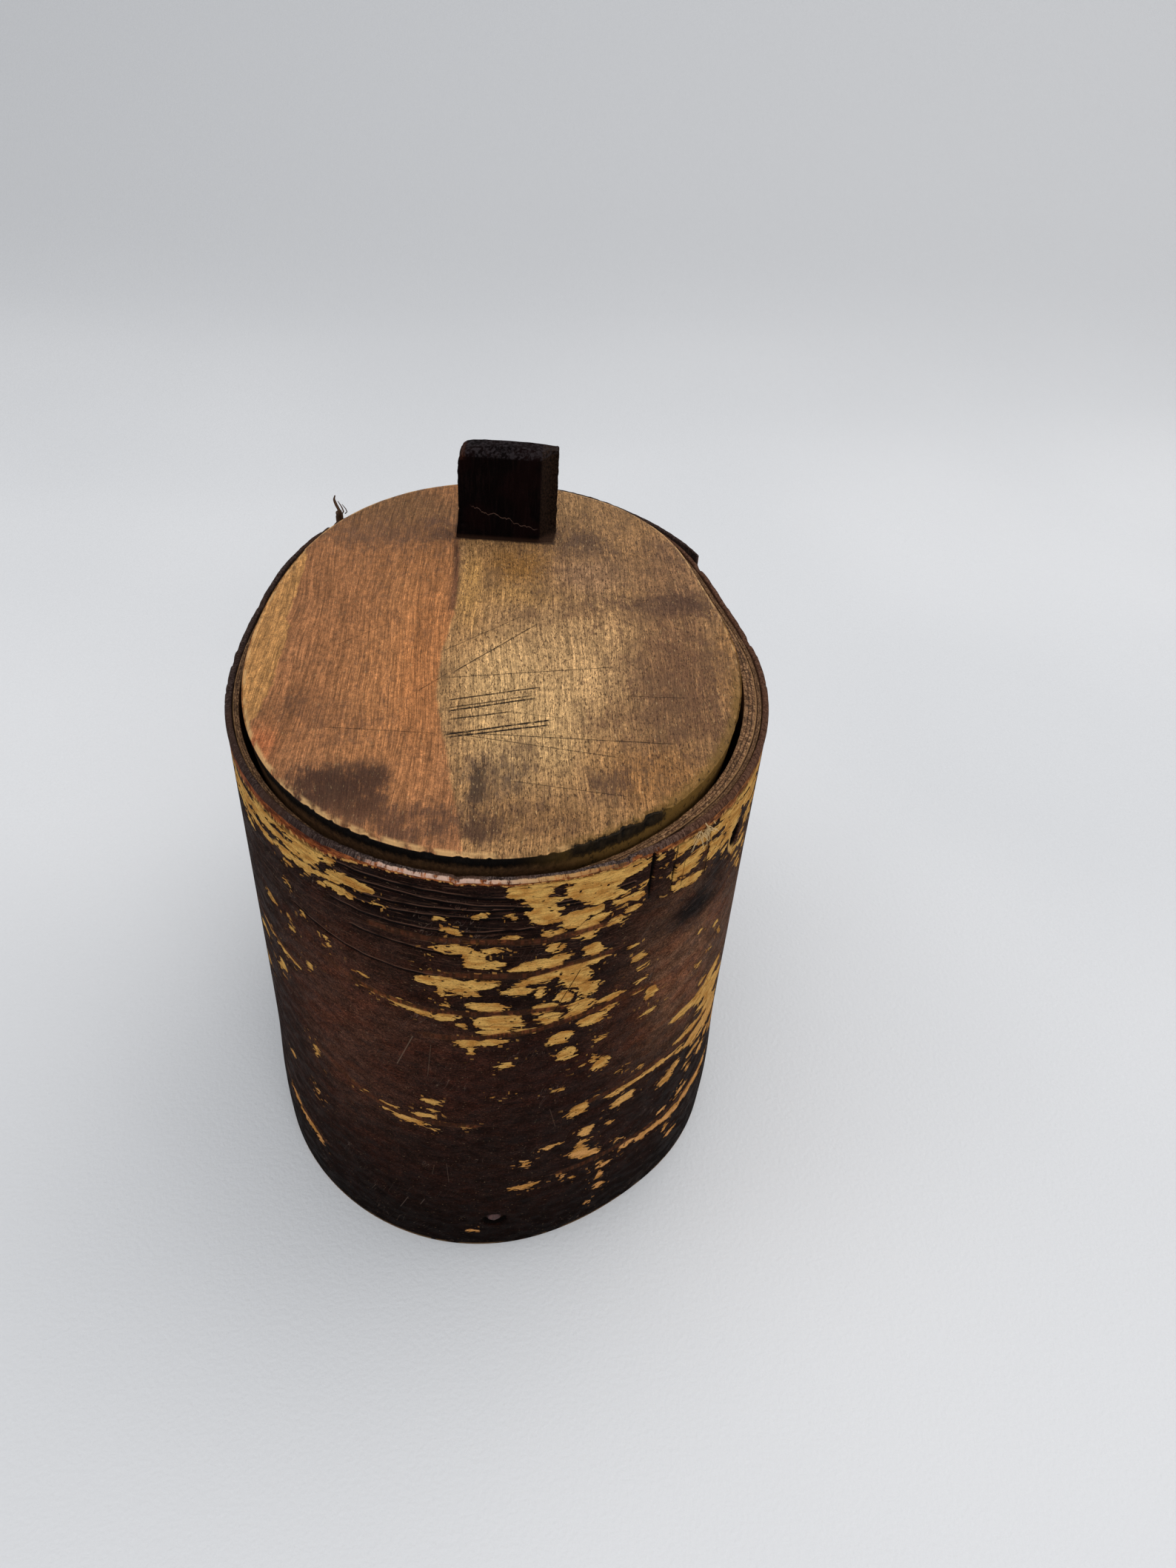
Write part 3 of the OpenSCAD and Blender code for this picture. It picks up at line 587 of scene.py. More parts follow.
def patch_field(s, z):
    """About the distance in mm inside the nearest patch's edge; it is negative outside.

    Heights count for more than lengths, as the skin tears more easily along the bark.
    """
    s = s + 1.4 * (noise(s / 2.6, z / 1.1, 0, 3, 2) - 0.5)
    z = z + 0.5 * (noise(s / 3.2, z / 1.6, 0, 4, 2) - 0.5)
    best = np.full(s.shape, -6.0)
    for ps, pz, a, b, *tilt in PATCHES + back_patches():
        near = np.flatnonzero((np.abs(s - ps) < a + 7) & (np.abs(z - pz) < a + 7))
        if not len(near):
            continue
        x, y = s[near] - ps, z[near] - pz
        c, d = cosd(*tilt or (0,)), sind(*tilt or (0,))
        x, y = x * c + y * d, y * c - x * d
        k0 = np.hypot(x / a, y / b)
        k1 = np.maximum(np.hypot(x / a**2, y / b**2 / 1.7), 1e-4)
        best[near] = np.maximum(best[near], np.clip(-k0 * (k0 - 1) / k1, -6, 1.6 * min(a, b)))
    return best


def line_field(s, z, lines):
    """Signed height in mm over the nearest line; 9 where none is near."""
    best = np.full(s.shape, 9.0)
    for run in lines:
        xs, ys = zip(*run)
        d = z - np.interp(s, xs, ys) - 0.5 * (noise(s / 4, 0.5, 0, 9, 2) - 0.5)
        over = np.maximum(np.maximum(xs[0] - s, s - xs[-1]), 0)
        d = np.where(d < 0, -1, 1) * np.hypot(d, over)
        best = np.where(np.abs(d) < np.abs(best), d, best)
    return best


def tint_field(s, z, base, blobs):
    """A colour for each point, from a base and soft blobs of (s, z, rs, rz, colour, strength)."""
    colour = np.broadcast_to(np.array(srgb(*base)[:3]), s.shape + (3,)).copy()
    for ps, pz, rs, rz, c, k in blobs:
        ds = (s - ps + 0.5 * rs * (noise(s / rs * 1.6, z / rz * 1.6, 0, 21, 3) - 0.5)) / rs
        dz = (z - pz + 0.5 * rz * (noise(s / rs * 1.6, z / rz * 1.6, 0, 22, 3) - 0.5)) / rz
        w = (k * np.exp(-((ds**2 + dz**2) ** 1.5)))[..., None]
        colour = colour * (1 - w) + np.array(srgb(*c)[:3]) * w
    return colour


BARK_BLOBS = [
    (-28, 74, 26, 32, (90, 63, 50), 0.85), (40, 82, 15, 26, (126, 96, 73), 0.9),
    (-6, 40, 26, 14, (40, 27, 22), 0.7), (-4, 66, 20, 12, (54, 33, 26), 0.7),
    (-10, 115, 24, 8, (24, 14, 12), 0.95), (0, 93, 22, 13, (34, 22, 17), 0.7),
    (40, 99.5, 9, 5, (17, 16, 17), 1.0), (46, 107, 4, 5, (32, 27, 26), 0.8),
    (52, 36, 16, 14, (34, 26, 23), 0.6), (-58, 95, 16, 30, (48, 37, 32), 0.6),
    (62, 78, 10, 26, (118, 92, 72), 0.6), (-52, 50, 12, 30, (50, 36, 30), 0.5),
    (26, 74, 8, 16, (66, 41, 30), 0.7), (110, 90, 26, 30, (60, 39, 30), 0.7),
    (-120, 80, 30, 34, (62, 41, 32), 0.7), (160, 60, 24, 40, (48, 32, 26), 0.6),
    (-180, 90, 30, 26, (56, 38, 30), 0.6), (-225, 60, 30, 30, (44, 30, 25), 0.6),
]


# ---- Bark sheets ----

# The sleeve's columns are FINE mm apart within FINE_REACH of the front, and COARSE elsewhere. Its rows
# are closer over the last part of the height.
FINE, COARSE, FINE_REACH, LINING_COLUMN = 0.52, 0.9, 78, 1.0
FACE_ROWS, RIM_ROWS, RIM_SHARE, INNER_ROWS = 190, 66, 0.82, 18
BARK_BASE, FOOT_SHADE, FOOT_SHADE_Z = (42, 28, 23), 0.32, 34
# Depths in mm: flaked patches and ridges, the pits of the knot and the pegs, and cracks from the rim.
PATCH_DEPTH, WAVE_DEPTH, RIM_FRAY = 0.10, 0.3, 0.22
KNOT_PIT, KNOT_LIP, PEG_PIT, CRACK_PIT = 1.5, 0.35, 1.35, 0.7
# Each crack: s, its lower and upper end, and half its width.
RIM_CRACKS = ((27.6, 110.5, 124, 0.42), (33.0, 107.5, 118.5, 0.34))


def columns(first, last, fine, coarse):
    """Unwrapped angles from first to last, at fine spacing in mm at the front and coarse elsewhere."""
    s0, s1 = arc_s(min(first, last)), arc_s(max(first, last))
    at = [s0]
    while at[-1] < s1:
        at.append(at[-1] + (fine if -FINE_REACH < at[-1] < FINE_REACH else coarse))
    at = np.array(at[:-1] + [s1])
    a = arc_a(at)
    return a if first < last else a[::-1]


def make_sleeve():
    turn = 360 + INNER_END - OUTER_END
    a = columns(INNER_END, INNER_END - turn, FINE, COARSE)
    u = INNER_END - a
    off = (SLEEVE_T + SHEET_GAP) * smooth((u - 360 + STEP_OVER) / STEP_OVER)
    off = off + END_CURL * smooth((u - turn + CURL_SPAN) / CURL_SPAN)
    t = sheet_t(u, turn, SLEEVE_T)
    off = off - (SLEEVE_T - t)
    top = rim_z(a) + END_RISE * smooth((u - turn + RISE_SPAN) / RISE_SPAN)
    s = arc_s(a)
    # The outer end's edge is smooth, with two humps; elsewhere it is nicked here and there.
    at_end = smooth((u - 425) / 12)
    top = top + at_end * (0.1 * bump(a, OUTER_END + 4, 3.5) + 0.05 * bump(a, OUTER_END + 14, 4) - 0.3)
    nicks = 0.35 * noise(s / 5, 0, 0, 31, 3) + 0.5 * smooth((noise(s / 1.7, 0, 0, 33) - 0.8) / 0.15)
    top = top - nicks * (1 - at_end)
    r = np.minimum(RIM_ROUND, t - 0.2)
    share = np.concatenate([np.linspace(0, RIM_SHARE, FACE_ROWS, endpoint=False),
                            np.linspace(RIM_SHARE, 1, RIM_ROWS)])
    outer_z = (top - r)[:, None] * share
    arc = np.array([18, 36, 54, 72, 90.0])
    arc_off, arc_z = -r[:, None] * (1 - cosd(arc)), (top - r)[:, None] + r[:, None] * sind(arc)
    flat = np.array([0.3, 0.6, 0.85])
    flat_off = -(r[:, None] + (t - r)[:, None] * flat)
    flat_z = np.repeat(top[:, None], 3, 1) - np.array([0.02, 0.05, 0.12])
    inner_z = (top - 0.4)[:, None] * np.linspace(1, 0, INNER_ROWS)
    inner_off = np.repeat(-t[:, None], INNER_ROWS, 1)
    offs = np.concatenate([np.zeros_like(outer_z), arc_off, flat_off, inner_off], 1)
    zs = np.concatenate([outer_z, arc_z, flat_z, inner_z], 1)
    outside = np.arange(zs.shape[1]) < outer_z.shape[1]
    aa, ss = np.repeat(a[:, None], zs.shape[1], 1), np.repeat(s[:, None], zs.shape[1], 1)
    # How far a point is from the rim's outer corner: down the face above 0, inwards below 0.
    inside = np.maximum((top - 0.3)[:, None] - zs, 0) * (offs < -0.7 * t[:, None])
    corner = np.where(outside, (top - r)[:, None] + 0.4 - zs, -np.maximum(-offs - 0.35, 0) - inside)
    field = patch_field(ss.ravel(), zs.ravel()).reshape(ss.shape)
    field = np.where(corner > 0, field, -6)
    lent = line_field(ss, zs, LENTICELS)
    ridge = line_field(ss, zs, RIDGES)
    dent = -WAVE_DEPTH * noise(ss / 26, zs / 30, 0, 51, 2) * outside
    dent = dent - PATCH_DEPTH * smooth((field + 0.2) / 0.5) * outside
    dent = dent - PATCH_DEPTH * np.exp(-((ridge / 0.5) ** 2)) * outside
    # Fibres of the rim's top.
    on_top = (corner < 0.1) * (corner > -1.3)
    dent_z = -RIM_FRAY * noise(ss / 0.7, offs / 1.1, 0, 61, 2) * on_top
    # Pits for the knot hole and the pegs, and two cracks down from the rim.
    pit = np.zeros_like(zs)
    away = np.hypot((ss - arc_s(KNOT_AT)) / (KNOT_W / 2 + KNOT_LIP), (zs - KNOT_Z) / (KNOT_H / 2 + KNOT_LIP))
    pit += KNOT_PIT * smooth((1.12 - away) / 0.3)
    for angle in PEG_ANGLES.values():
        away = np.hypot(wrap(aa - angle) * math.pi / 180 * 57, zs - PEG_Z)
        lumpy = 0.5 * (noise(ss / 1.2, zs / 1.2, 0, 71, 2) - 0.5)
        pit += PEG_PIT * smooth((PEG_D / 2 + 0.75 + lumpy - away) / 0.6)
    for cs, z0, z1, width in RIM_CRACKS:
        crook = cs + 0.5 * (noise(zs / 3, 0, 0, 77, 2) - 0.5)
        ends = smooth((zs - z0) / 3) * smooth((z1 - zs) / 2)
        pit += CRACK_PIT * smooth((width - np.abs(ss - crook)) / 0.3) * ends
    pit *= outside
    pts = wall_point(aa, off[:, None] + offs + dent - pit, zs)
    pts[..., 2] += dent_z
    obj = grid_object("bark_wall", pts, close_v=True, cap_u=True, sharp=50)
    set_attr(obj, "wall", np.stack([ss, zs, corner], -1))
    set_attr(obj, "field", np.stack([field, lent, ridge], -1))
    tint = tint_field(ss, zs, BARK_BASE, BARK_BLOBS)
    fade = smooth(zs / FOOT_SHADE_Z)[..., None] * (1 - FOOT_SHADE) + FOOT_SHADE
    set_attr(obj, "tint", tint * fade)
    set_attr(obj, "pit", np.stack([pit, 0 * pit, 0 * pit], -1))
    return obj


def lining_top(a):
    return rim_z(a) - LINING_DROP - FRONT_DIP * bump(a, DIP_AT, DIP_SPREAD)


def make_lining():
    a = columns(LINING_OUT_END, LINING_IN_END + 360, LINING_COLUMN, LINING_COLUMN)
    u = a - LINING_OUT_END
    under = (lining_t(np.maximum(0, u - 360)) + SHEET_GAP) * smooth((u - 360 + STEP_OVER) / STEP_OVER)
    t = sheet_t(u, LINING_TURN, lining_t(u))
    room = ROOT_ROOM * smooth((14 - np.minimum(abs(wrap(a - RIGHT_ROW)), abs(wrap(a - LEFT_ROW)))) / 10)
    s = arc_s(a)
    top = lining_top(a) - 0.3 * noise(s / 3, 0, 0, 81, 3)
    room_z = np.minimum(LID_Z - LID_T, top - 3)
    share = np.concatenate([np.linspace(0, 0.9, 40, endpoint=False), np.linspace(0.9, 1, 14)])
    z_out = LINING_Z + (top - 0.25 - LINING_Z)[:, None] * share
    bulge = room[:, None] * (1 - smooth((z_out - room_z[:, None] + 2) / 3.5))
    over_top = np.array([0.15, 0.35, 0.6, 0.85])
    z_top = top[:, None] - np.array([0.1, 0, 0.0, 0.1])
    offs = np.concatenate([-bulge, -t[:, None] * over_top, (-t[:, None] - bulge)[:, ::-1]], 1)
    zs = np.concatenate([z_out, z_top, z_out[:, ::-1]], 1)
    ss = np.repeat(s[:, None], zs.shape[1], 1)
    across = np.concatenate([0 * z_out, 0 * z_top + over_top, 0 * z_out + 1], 1)
    zs = zs - 0.15 * noise(ss / 0.8, across * 1.6, 0, 83, 2) * (across > 0) * (across < 1)
    pts = wall_point(a[:, None], (-LINING_FACE - under)[:, None] + offs, zs)
    obj = grid_object("bark_lining", pts, close_v=True, cap_u=True, sharp=50)
    set_attr(obj, "wall", np.stack([ss, zs, across + 2 * ((top[:, None] - zs) / 40).clip(0, 1)], -1))
    return obj


# ---- Lid and grip ----

LID_COLUMNS, LID_HALF, LID_CENTRE_Y, LID_RIDGE = 640, 47.0, -1.0, 0.10
# Where the edge has decayed, in front at the right: the middle's angle, half the width and the fade.
ROT_AT, ROT_REACH, ROT_FADE = -69, 13, 7
GRIP_VOXEL, GRIP_ROUNDS = 0.36, 3
LID_MID = (lid_point(0.0, 0, LID_Z)[0] + lid_point(180.0, 0, LID_Z)[0]) / 2
GRIP_AT = np.array([LID_MID + GRIP_ASIDE, lid_point(90.0, 0, LID_Z)[1] - GRIP_BACK])

# Colours of the board's orange left part and its tan right part: x, y, rx, ry, colour, strength.
# The first ones lie lowest.
LID_LEFT = [
    (-20, -2, 13, 60, (177, 118, 71), 0.75), (-34, 10, 9, 34, (157, 104, 65), 0.7),
    (-15, -10, 5, 26, (182, 116, 67), 0.6), (-26, 46, 24, 14, (119, 85, 55), 0.9),
    (-38, -28, 5, 12, (142, 93, 57), 0.6), (-42, -37, 3, 6, (182, 104, 62), 0.8),
]
LID_RIGHT = [
    (4, -22, 15, 20, (214, 173, 118), 0.85), (14, -8, 16, 20, (202, 160, 110), 0.7),
    (-7.5, 14, 3, 12, (200, 150, 86), 0.9), (3, 23, 8, 8, (146, 102, 50), 0.85),
    (3, 12, 8, 5, (176, 132, 76), 0.6), (18, 20, 9, 8, (160, 122, 90), 0.7),
    (8, 48, 20, 14, (142, 108, 72), 0.7), (27, -43, 10, 9, (154, 106, 60), 0.8),
    (6, -54, 16, 6, (146, 106, 66), 0.7), (36, 20, 9, 20, (136, 98, 70), 0.6),
    (33, -14, 9, 20, (128, 90, 62), 0.7),
]
# Dark films of dirt on the top: x, y, rx, ry, colour, strength and squareness.
LID_FILMS = [
    (-26, -2, 15, 55, (138, 90, 56), 0.3, 2), (14, 26, 22, 20, (122, 92, 66), 0.42, 2),
    (26, -8, 22, 34, (128, 92, 62), 0.3, 2), (-27.3, -46.8, 8.8, 6.6, (58, 37, 28), 1.0, 5),
    (-22, -55, 15, 5, (96, 62, 43), 0.6, 2), (-37.5, -24, 4, 4, (88, 58, 40), 0.5, 2),
    (-30, -30, 10, 6, (128, 84, 54), 0.4, 2), (-14, 36, 5, 6, (84, 58, 46), 0.55, 2),
    (-24, 33, 13, 7, (104, 74, 54), 0.45, 2), (-36, 34, 8, 6, (112, 80, 58), 0.4, 2),
    (-12.5, -56, 6, 5, (84, 56, 42), 0.55, 2), (18, 32.5, 7, 6, (86, 66, 52), 0.6, 2),
    (37, 30, 5, 10, (100, 72, 54), 0.5, 2), (36.5, 9.6, 7, 4.8, (66, 46, 38), 0.8, 3),
    (26, 9, 10, 2.6, (84, 62, 48), 0.6, 2), (35, -14, 8, 21, (112, 77, 53), 0.52, 3),
    (26, -20, 7, 12, (108, 78, 56), 0.3, 2), (-0.5, -42.5, 8.4, 8.6, (100, 82, 64), 0.6, 3),
    (-3.8, -45, 1.3, 6, (36, 27, 24), 0.8, 3), (18.5, -45, 6, 5, (86, 60, 44), 0.62, 3),
    (-3.2, -55.5, 3, 3.5, (64, 44, 34), 0.75, 3), (7, -53, 9, 5, (102, 74, 50), 0.5, 2),
    (38, -32, 6, 10, (104, 72, 48), 0.45, 2), (12, 5, 14, 3, (142, 104, 68), 0.35, 2),
    (20, -30, 10, 7, (134, 98, 66), 0.4, 2),
]


def film_field(x, y, films):
    """How strongly dirt lies on each point, from 0 to 1, and its colour."""
    share = np.zeros(x.shape)
    colour = np.broadcast_to(np.array(srgb(90, 64, 48)[:3]), x.shape + (3,)).copy()
    for fx, fy, rx, ry, c, k, square in films:
        dx = (x - fx + 0.35 * rx * (noise(x / rx * 1.6, y / ry * 1.6, 0, 23, 3) - 0.5)) / rx
        dy = (y - fy + 0.35 * ry * (noise(x / rx * 1.6, y / ry * 1.6, 0, 24, 3) - 0.5)) / ry
        w = k * np.exp(-0.9 * (abs(dx) ** square + abs(dy) ** square))
        colour = colour * (1 - w)[..., None] + np.array(srgb(*c)[:3]) * w[..., None]
        share = 1 - (1 - share) * (1 - w)
    return share, colour


def lid_boundary(y):
    """Where the board's orange left part meets its tan right part."""
    ys = [-62, -56, -44, -35, -29, -20, -9, 0, 4, 18, 30, 60]
    return np.interp(y, ys, [-5.6, -6.2, -8.4, -9.6, -10.9, -12.2, -11.8, -10.6, -10, -9.6, -10, -10.5])


def facet_of(x, y):
    """Share of the shaved, yellower facet: one along the left edge and one at the right."""
    left = np.interp(y, [-34, -28, -18, -1, 1, 24, 32], [-46, -43.2, -42, -41.4, -42.4, -41.4, -46])
    right = np.interp(y, [-34, -27, -22, -9, 9, 14], [47, 42.6, 40.4, 40.2, 45.4, 47])
    ragged = 0.8 * (noise(x / 2, y / 1.5, 0, 101, 2) - 0.5)
    return smooth((left - x + ragged) / 0.5 + 0.5), smooth((x - right + ragged) / 0.5 + 0.5)


def make_lid():
    n = LID_COLUMNS
    a = np.linspace(-180, 180, n, endpoint=False)
    wear = LID_WEAR * (0.75 + 0.5 * noise(a / 5, 0, 0, 91, 2))
    # Each row: depth under the top, and inset.
    rows = [(0.0, inset) for inset in np.concatenate([np.linspace(46, 8, 84), np.linspace(7.6, 0.4, 24)])]
    rows += [(0.03, 0.16), (0.16, 0.06), (0.45, 0.0)]
    rows += [(down, LID_TAPER * down) for down in np.linspace(0.9, LID_T - LID_CHAMFER, 20)]
    rows += [(LID_T - 0.3, LID_TAPER * LID_T + 0.6), (LID_T, LID_TAPER * LID_T + LID_CHAMFER)]
    rows += [(LID_T, inset) for inset in np.linspace(5, LID_HALF, 14)]
    edge = lid_point(a, 0, LID_Z)
    mid = np.array([LID_MID, LID_CENTRE_Y, 0])
    reach = np.linalg.norm(edge[:, :2] - mid[:2], axis=1)
    # The decayed, ragged edge at the front right, and small chips elsewhere along the front.
    rot = smooth((ROT_REACH - abs(wrap(a - ROT_AT))) / ROT_FADE)
    decay = rot * (0.15 + 1.1 * noise(a / 1.1, 0, 0, 93, 3) ** 1.5)
    decay = decay + 0.3 * smooth((26 - abs(wrap(a + 46))) / 12) * noise(a / 1.3, 0, 0, 94, 2)
    chips = 0.5 * smooth((noise(a / 1.1, 0, 0, 95, 2) - 0.62) / 0.1) * smooth((45 - abs(wrap(a + 90))) / 20)
    pts, attr = [], []
    for down, inset in rows:
        top_row = down < 0.5
        # Insets of the edge are in mm, and those of the middle are shares of the way to it.
        in_by = np.minimum(inset * reach / LID_HALF if inset > 6 else np.full(n, inset), reach * 0.999)
        if top_row:
            worn = smooth((7 - in_by) / 6) * wear * (1 if inset > 0.2 else 0.5)
            in_by = in_by + worn + (decay + chips) * smooth((3 - in_by) / 2.5)
        else:
            in_by = in_by + decay * 0.8 * smooth((5.5 - down) / 4) + chips * (down < 2) * 0.6
        p = edge.copy()
        p[:, 2] = LID_Z - down
        p[:, :2] = mid[:2] + (edge[:, :2] - mid[:2]) * (1 - in_by / reach)[:, None]
        if top_row:
            # The shaved facets fall away towards the edge, and the edge is worn round.
            shaved = np.maximum(*facet_of(p[:, 0], p[:, 1]))
            p[:, 2] -= shaved * (0.12 + 0.35 * smooth((6 - in_by) / 6)) + 0.18 * smooth((1.6 - in_by) / 1.6)
            p[:, 2] -= rot * 0.6 * smooth((2.6 - in_by) / 2) * noise(a / 1.4, in_by / 1.2, 0, 96, 2)
            # A little wear of the whole top: the grain stands in soft ridges from front to back.
            ridges = noise(p[:, 0] / 2.2, p[:, 1] / 26, 0, 97, 2)
            p[:, 2] -= LID_RIDGE * ridges + LID_RIDGE * noise(p[:, 0] / 18, p[:, 1] / 22, 0, 98)
        pts.append(p)
        attr.append(np.stack([in_by if top_row else np.full(n, -down), rot, np.full(n, top_row * 1.0)], -1))
    pts = np.stack(pts, 1)
    attr = np.stack(attr, 1)
    obj = grid_object("lid_board_carved", pts, close_u=True, cap_v=True, sharp=45)
    x, y = pts[..., 0], pts[..., 1]
    left = tint_field(x, y, (164, 110, 71), LID_LEFT)
    right = tint_field(x, y, (170, 127, 82), LID_RIGHT)
    side = smooth((x - lid_boundary(y) - 0.6 * (noise(y / 2, x / 9, 0, 99, 2) - 0.5)) / 0.5 + 0.5)[..., None]
    tint = left * (1 - side) + right * side
    # The dark smear beside the boundary, behind the middle.
    smear = 0.75 * np.exp(-(((x - lid_boundary(y) + 0.5) / 0.9) ** 2))
    smear = (smear * smooth((y - 2) / 6) * smooth((33 - y) / 5))[..., None]
    tint = tint * (1 - smear) + np.array(srgb(66, 42, 36)[:3]) * smear
    # The shaved facets are cleaner, yellower wood.
    for on, shade, share in zip(facet_of(x, y), ((190, 137, 80), (160, 116, 72)), (0.95, 0.8)):
        on = (on * attr[..., 2] * share)[..., None]
        tint = tint * (1 - on) + np.array(srgb(*shade)[:3]) * on
    set_attr(obj, "tint", tint)
    film, film_colour = film_field(x, y, LID_FILMS)
    film = film * (1 - 0.7 * facet_of(x, y)[0])
    set_attr(obj, "film_colour", film_colour)
    set_attr(obj, "film", np.stack([film, 0 * film, 0 * film], -1))
    set_attr(obj, "lid", np.stack([attr[..., 0], attr[..., 1], side[..., 0]], -1))
    return obj


def applied(obj):
    """Replaces an object's mesh by what its modifiers make of it."""
    dg = bpy.context.evaluated_depsgraph_get()
    mesh = bpy.data.meshes.new_from_object(obj.evaluated_get(dg))
    obj.modifiers.clear()
    obj.data = mesh
    return obj


def vertex_data(obj, kind):
    data = np.zeros(len(obj.data.vertices) * 3, np.float32)
    obj.data.vertices.foreach_get(kind, data)
    return data.reshape(-1, 3).astype(float)


def coords(obj):
    return vertex_data(obj, "co") / MM


def set_coords(obj, pts):
    obj.data.vertices.foreach_set("co", (pts * MM).astype(np.float32).ravel())
    obj.data.update()


def remeshed(name, node, voxel, rounds):
    """A dense copy of a CAD node with its edges softened."""
    obj = bpy.data.objects.new(name, NODES[node].data.copy())
    obj.data.name = name
    bpy.context.scene.collection.objects.link(obj)
    m = obj.modifiers.new("remesh", "REMESH")
    m.mode, m.voxel_size, m.use_smooth_shade = "VOXEL", voxel * MM, True
    s = obj.modifiers.new("smooth", "SMOOTH")
    s.factor, s.iterations = 0.5, rounds
    return applied(obj)


def grip_local(pts):
    """Points in the grip's own axes: across it, through it, and height over the lid."""
    c, s = cosd(GRIP_TURN), sind(GRIP_TURN)
    x, y = pts[:, 0] - GRIP_AT[0], pts[:, 1] - GRIP_AT[1]
    return np.stack([x * c + y * s, y * c - x * s, pts[:, 2] - LID_Z], -1)


def make_grip():
    obj = remeshed("grip_carved", "lid_grip", GRIP_VOXEL, GRIP_ROUNDS)
    pts, out = coords(obj), vertex_data(obj, "normal")
    q = grip_local(pts)
    facing = out @ np.array([cosd(GRIP_TURN), sind(GRIP_TURN), 0])
    d = 0.10 * noise(pts[:, 0] / 3, pts[:, 1] / 3, pts[:, 2] / 7, 111, 3)
    # The sides are rough where they were split, with small steps one over the other.
    d += 0.35 * smooth((np.abs(facing) - 0.5) / 0.3) * noise(q[:, 1] / 1.1, q[:, 2] / 1.3, 0, 113, 2)
    torn = smooth((noise(q[:, 0] / 0.8, q[:, 2] / 0.9, q[:, 1], 115, 2) - 0.66) / 0.15)
    d += 0.5 * smooth((np.abs(q[:, 0]) - 7) / 4) * torn
    # The right side stands a little fuller than the CAD's.
    d -= 0.55 * smooth((facing - 0.5) / 0.3)
    keep = smooth((q[:, 2] + 0.5) / 1.5)
    pts = pts - out * (d * keep)[:, None]
    # A bevel down the right front edge, and a smaller one along the top of the front.
    bevel = 0.75 * np.maximum(q[:, 0] - GRIP_W / 2 + 3.2, 0) * smooth((0.5 - q[:, 1]) / 2.5) * keep
    low = 0.8 * np.maximum(q[:, 2] - GRIP_H + 1.6, 0) * smooth((-0.8 - q[:, 1]) / 1.8)
    push = np.array([-sind(GRIP_TURN), cosd(GRIP_TURN), 0])
    set_coords(obj, pts + push * (bevel + low)[:, None])
    return obj


# A peg from its head inwards: depth, and its share of the full radius.
PEG_ROWS = [
    (0.12, 0.12), (0.14, 0.35), (0.22, 0.6), (0.42, 0.82), (0.7, 0.95), (1.2, 1.0), (6, 1.0),
    (PEG_LEN - 0.6, 0.97), (PEG_LEN - 0.1, 0.8),
]
PEG_SIDES, PEG_PLAY = 40, 0.03


def make_peg(name, angle):
    """A whittled peg with a domed, rough head, in its pit in the wall."""
    here, ahead = wall_point(angle - 1.0, 0, PEG_Z), wall_point(angle + 1.0, 0, PEG_Z)
    heading = math.degrees(math.atan2(ahead[1] - here[1], ahead[0] - here[0])) - 90
    out = np.array([cosd(heading), sind(heading), 0])
    side = np.array([-sind(heading), cosd(heading), 0])
    start = wall_point(float(angle), -PEG_SINK, PEG_Z)
    b = np.linspace(0, 360, PEG_SIDES, endpoint=False)
    facets = 1 - 0.035 * abs(cosd(4 * b))
    rows = []
    for depth, share in PEG_ROWS:
        r = (PEG_D / 2 - PEG_PLAY) * share * facets
        lump = 0.28 * noise(r * cosd(b) / 0.8, r * sind(b) / 0.8, 0, 121 + int(angle), 2) * (depth < 1)
        at = start - out * (depth + lump)[:, None]
        rows.append(at + side * (r * cosd(b))[:, None] + np.array([0, 0, 1]) * (r * sind(b))[:, None])
    return grid_object(name + "_whittled", np.stack(rows, 0), close_v=True, cap_u=True, sharp=35)


# ---- Seam roots ----

STRAND_POINTS = 26
# The frayed tuft: how many fibres, points along each, and where it is on the wall.
TUFT_STRANDS, TUFT_POINTS, TUFT_AT = 34, 9, (40.0, 120.2)


def route_points(route, per=7):
    """A smooth path through corners of (angle, distance from the face, height), and the ways outwards."""
    q = np.array(route, float)
    out = []
    for i in range(len(q) - 1):
        p0, p1, p2, p3 = q[max(i - 1, 0)], q[i], q[i + 1], q[min(i + 2, len(q) - 1)]
        for k in range(per):
            t = k / per
            line = p1 + (p2 - p1) * t
            curve = 0.5 * ((2 * p1) + (p2 - p0) * t + (2 * p0 - 5 * p1 + 4 * p2 - p3) * t**2
                           + (3 * p1 - p0 - 3 * p2 + p3) * t**3)
            out.append(line * 0.7 + curve * 0.3)
    out.append(q[-1])
    q = np.array(out)
    a, off, z = q.T
    return wall_point(a, off, z), np.stack([cosd(a), sind(a), 0 * a], -1)


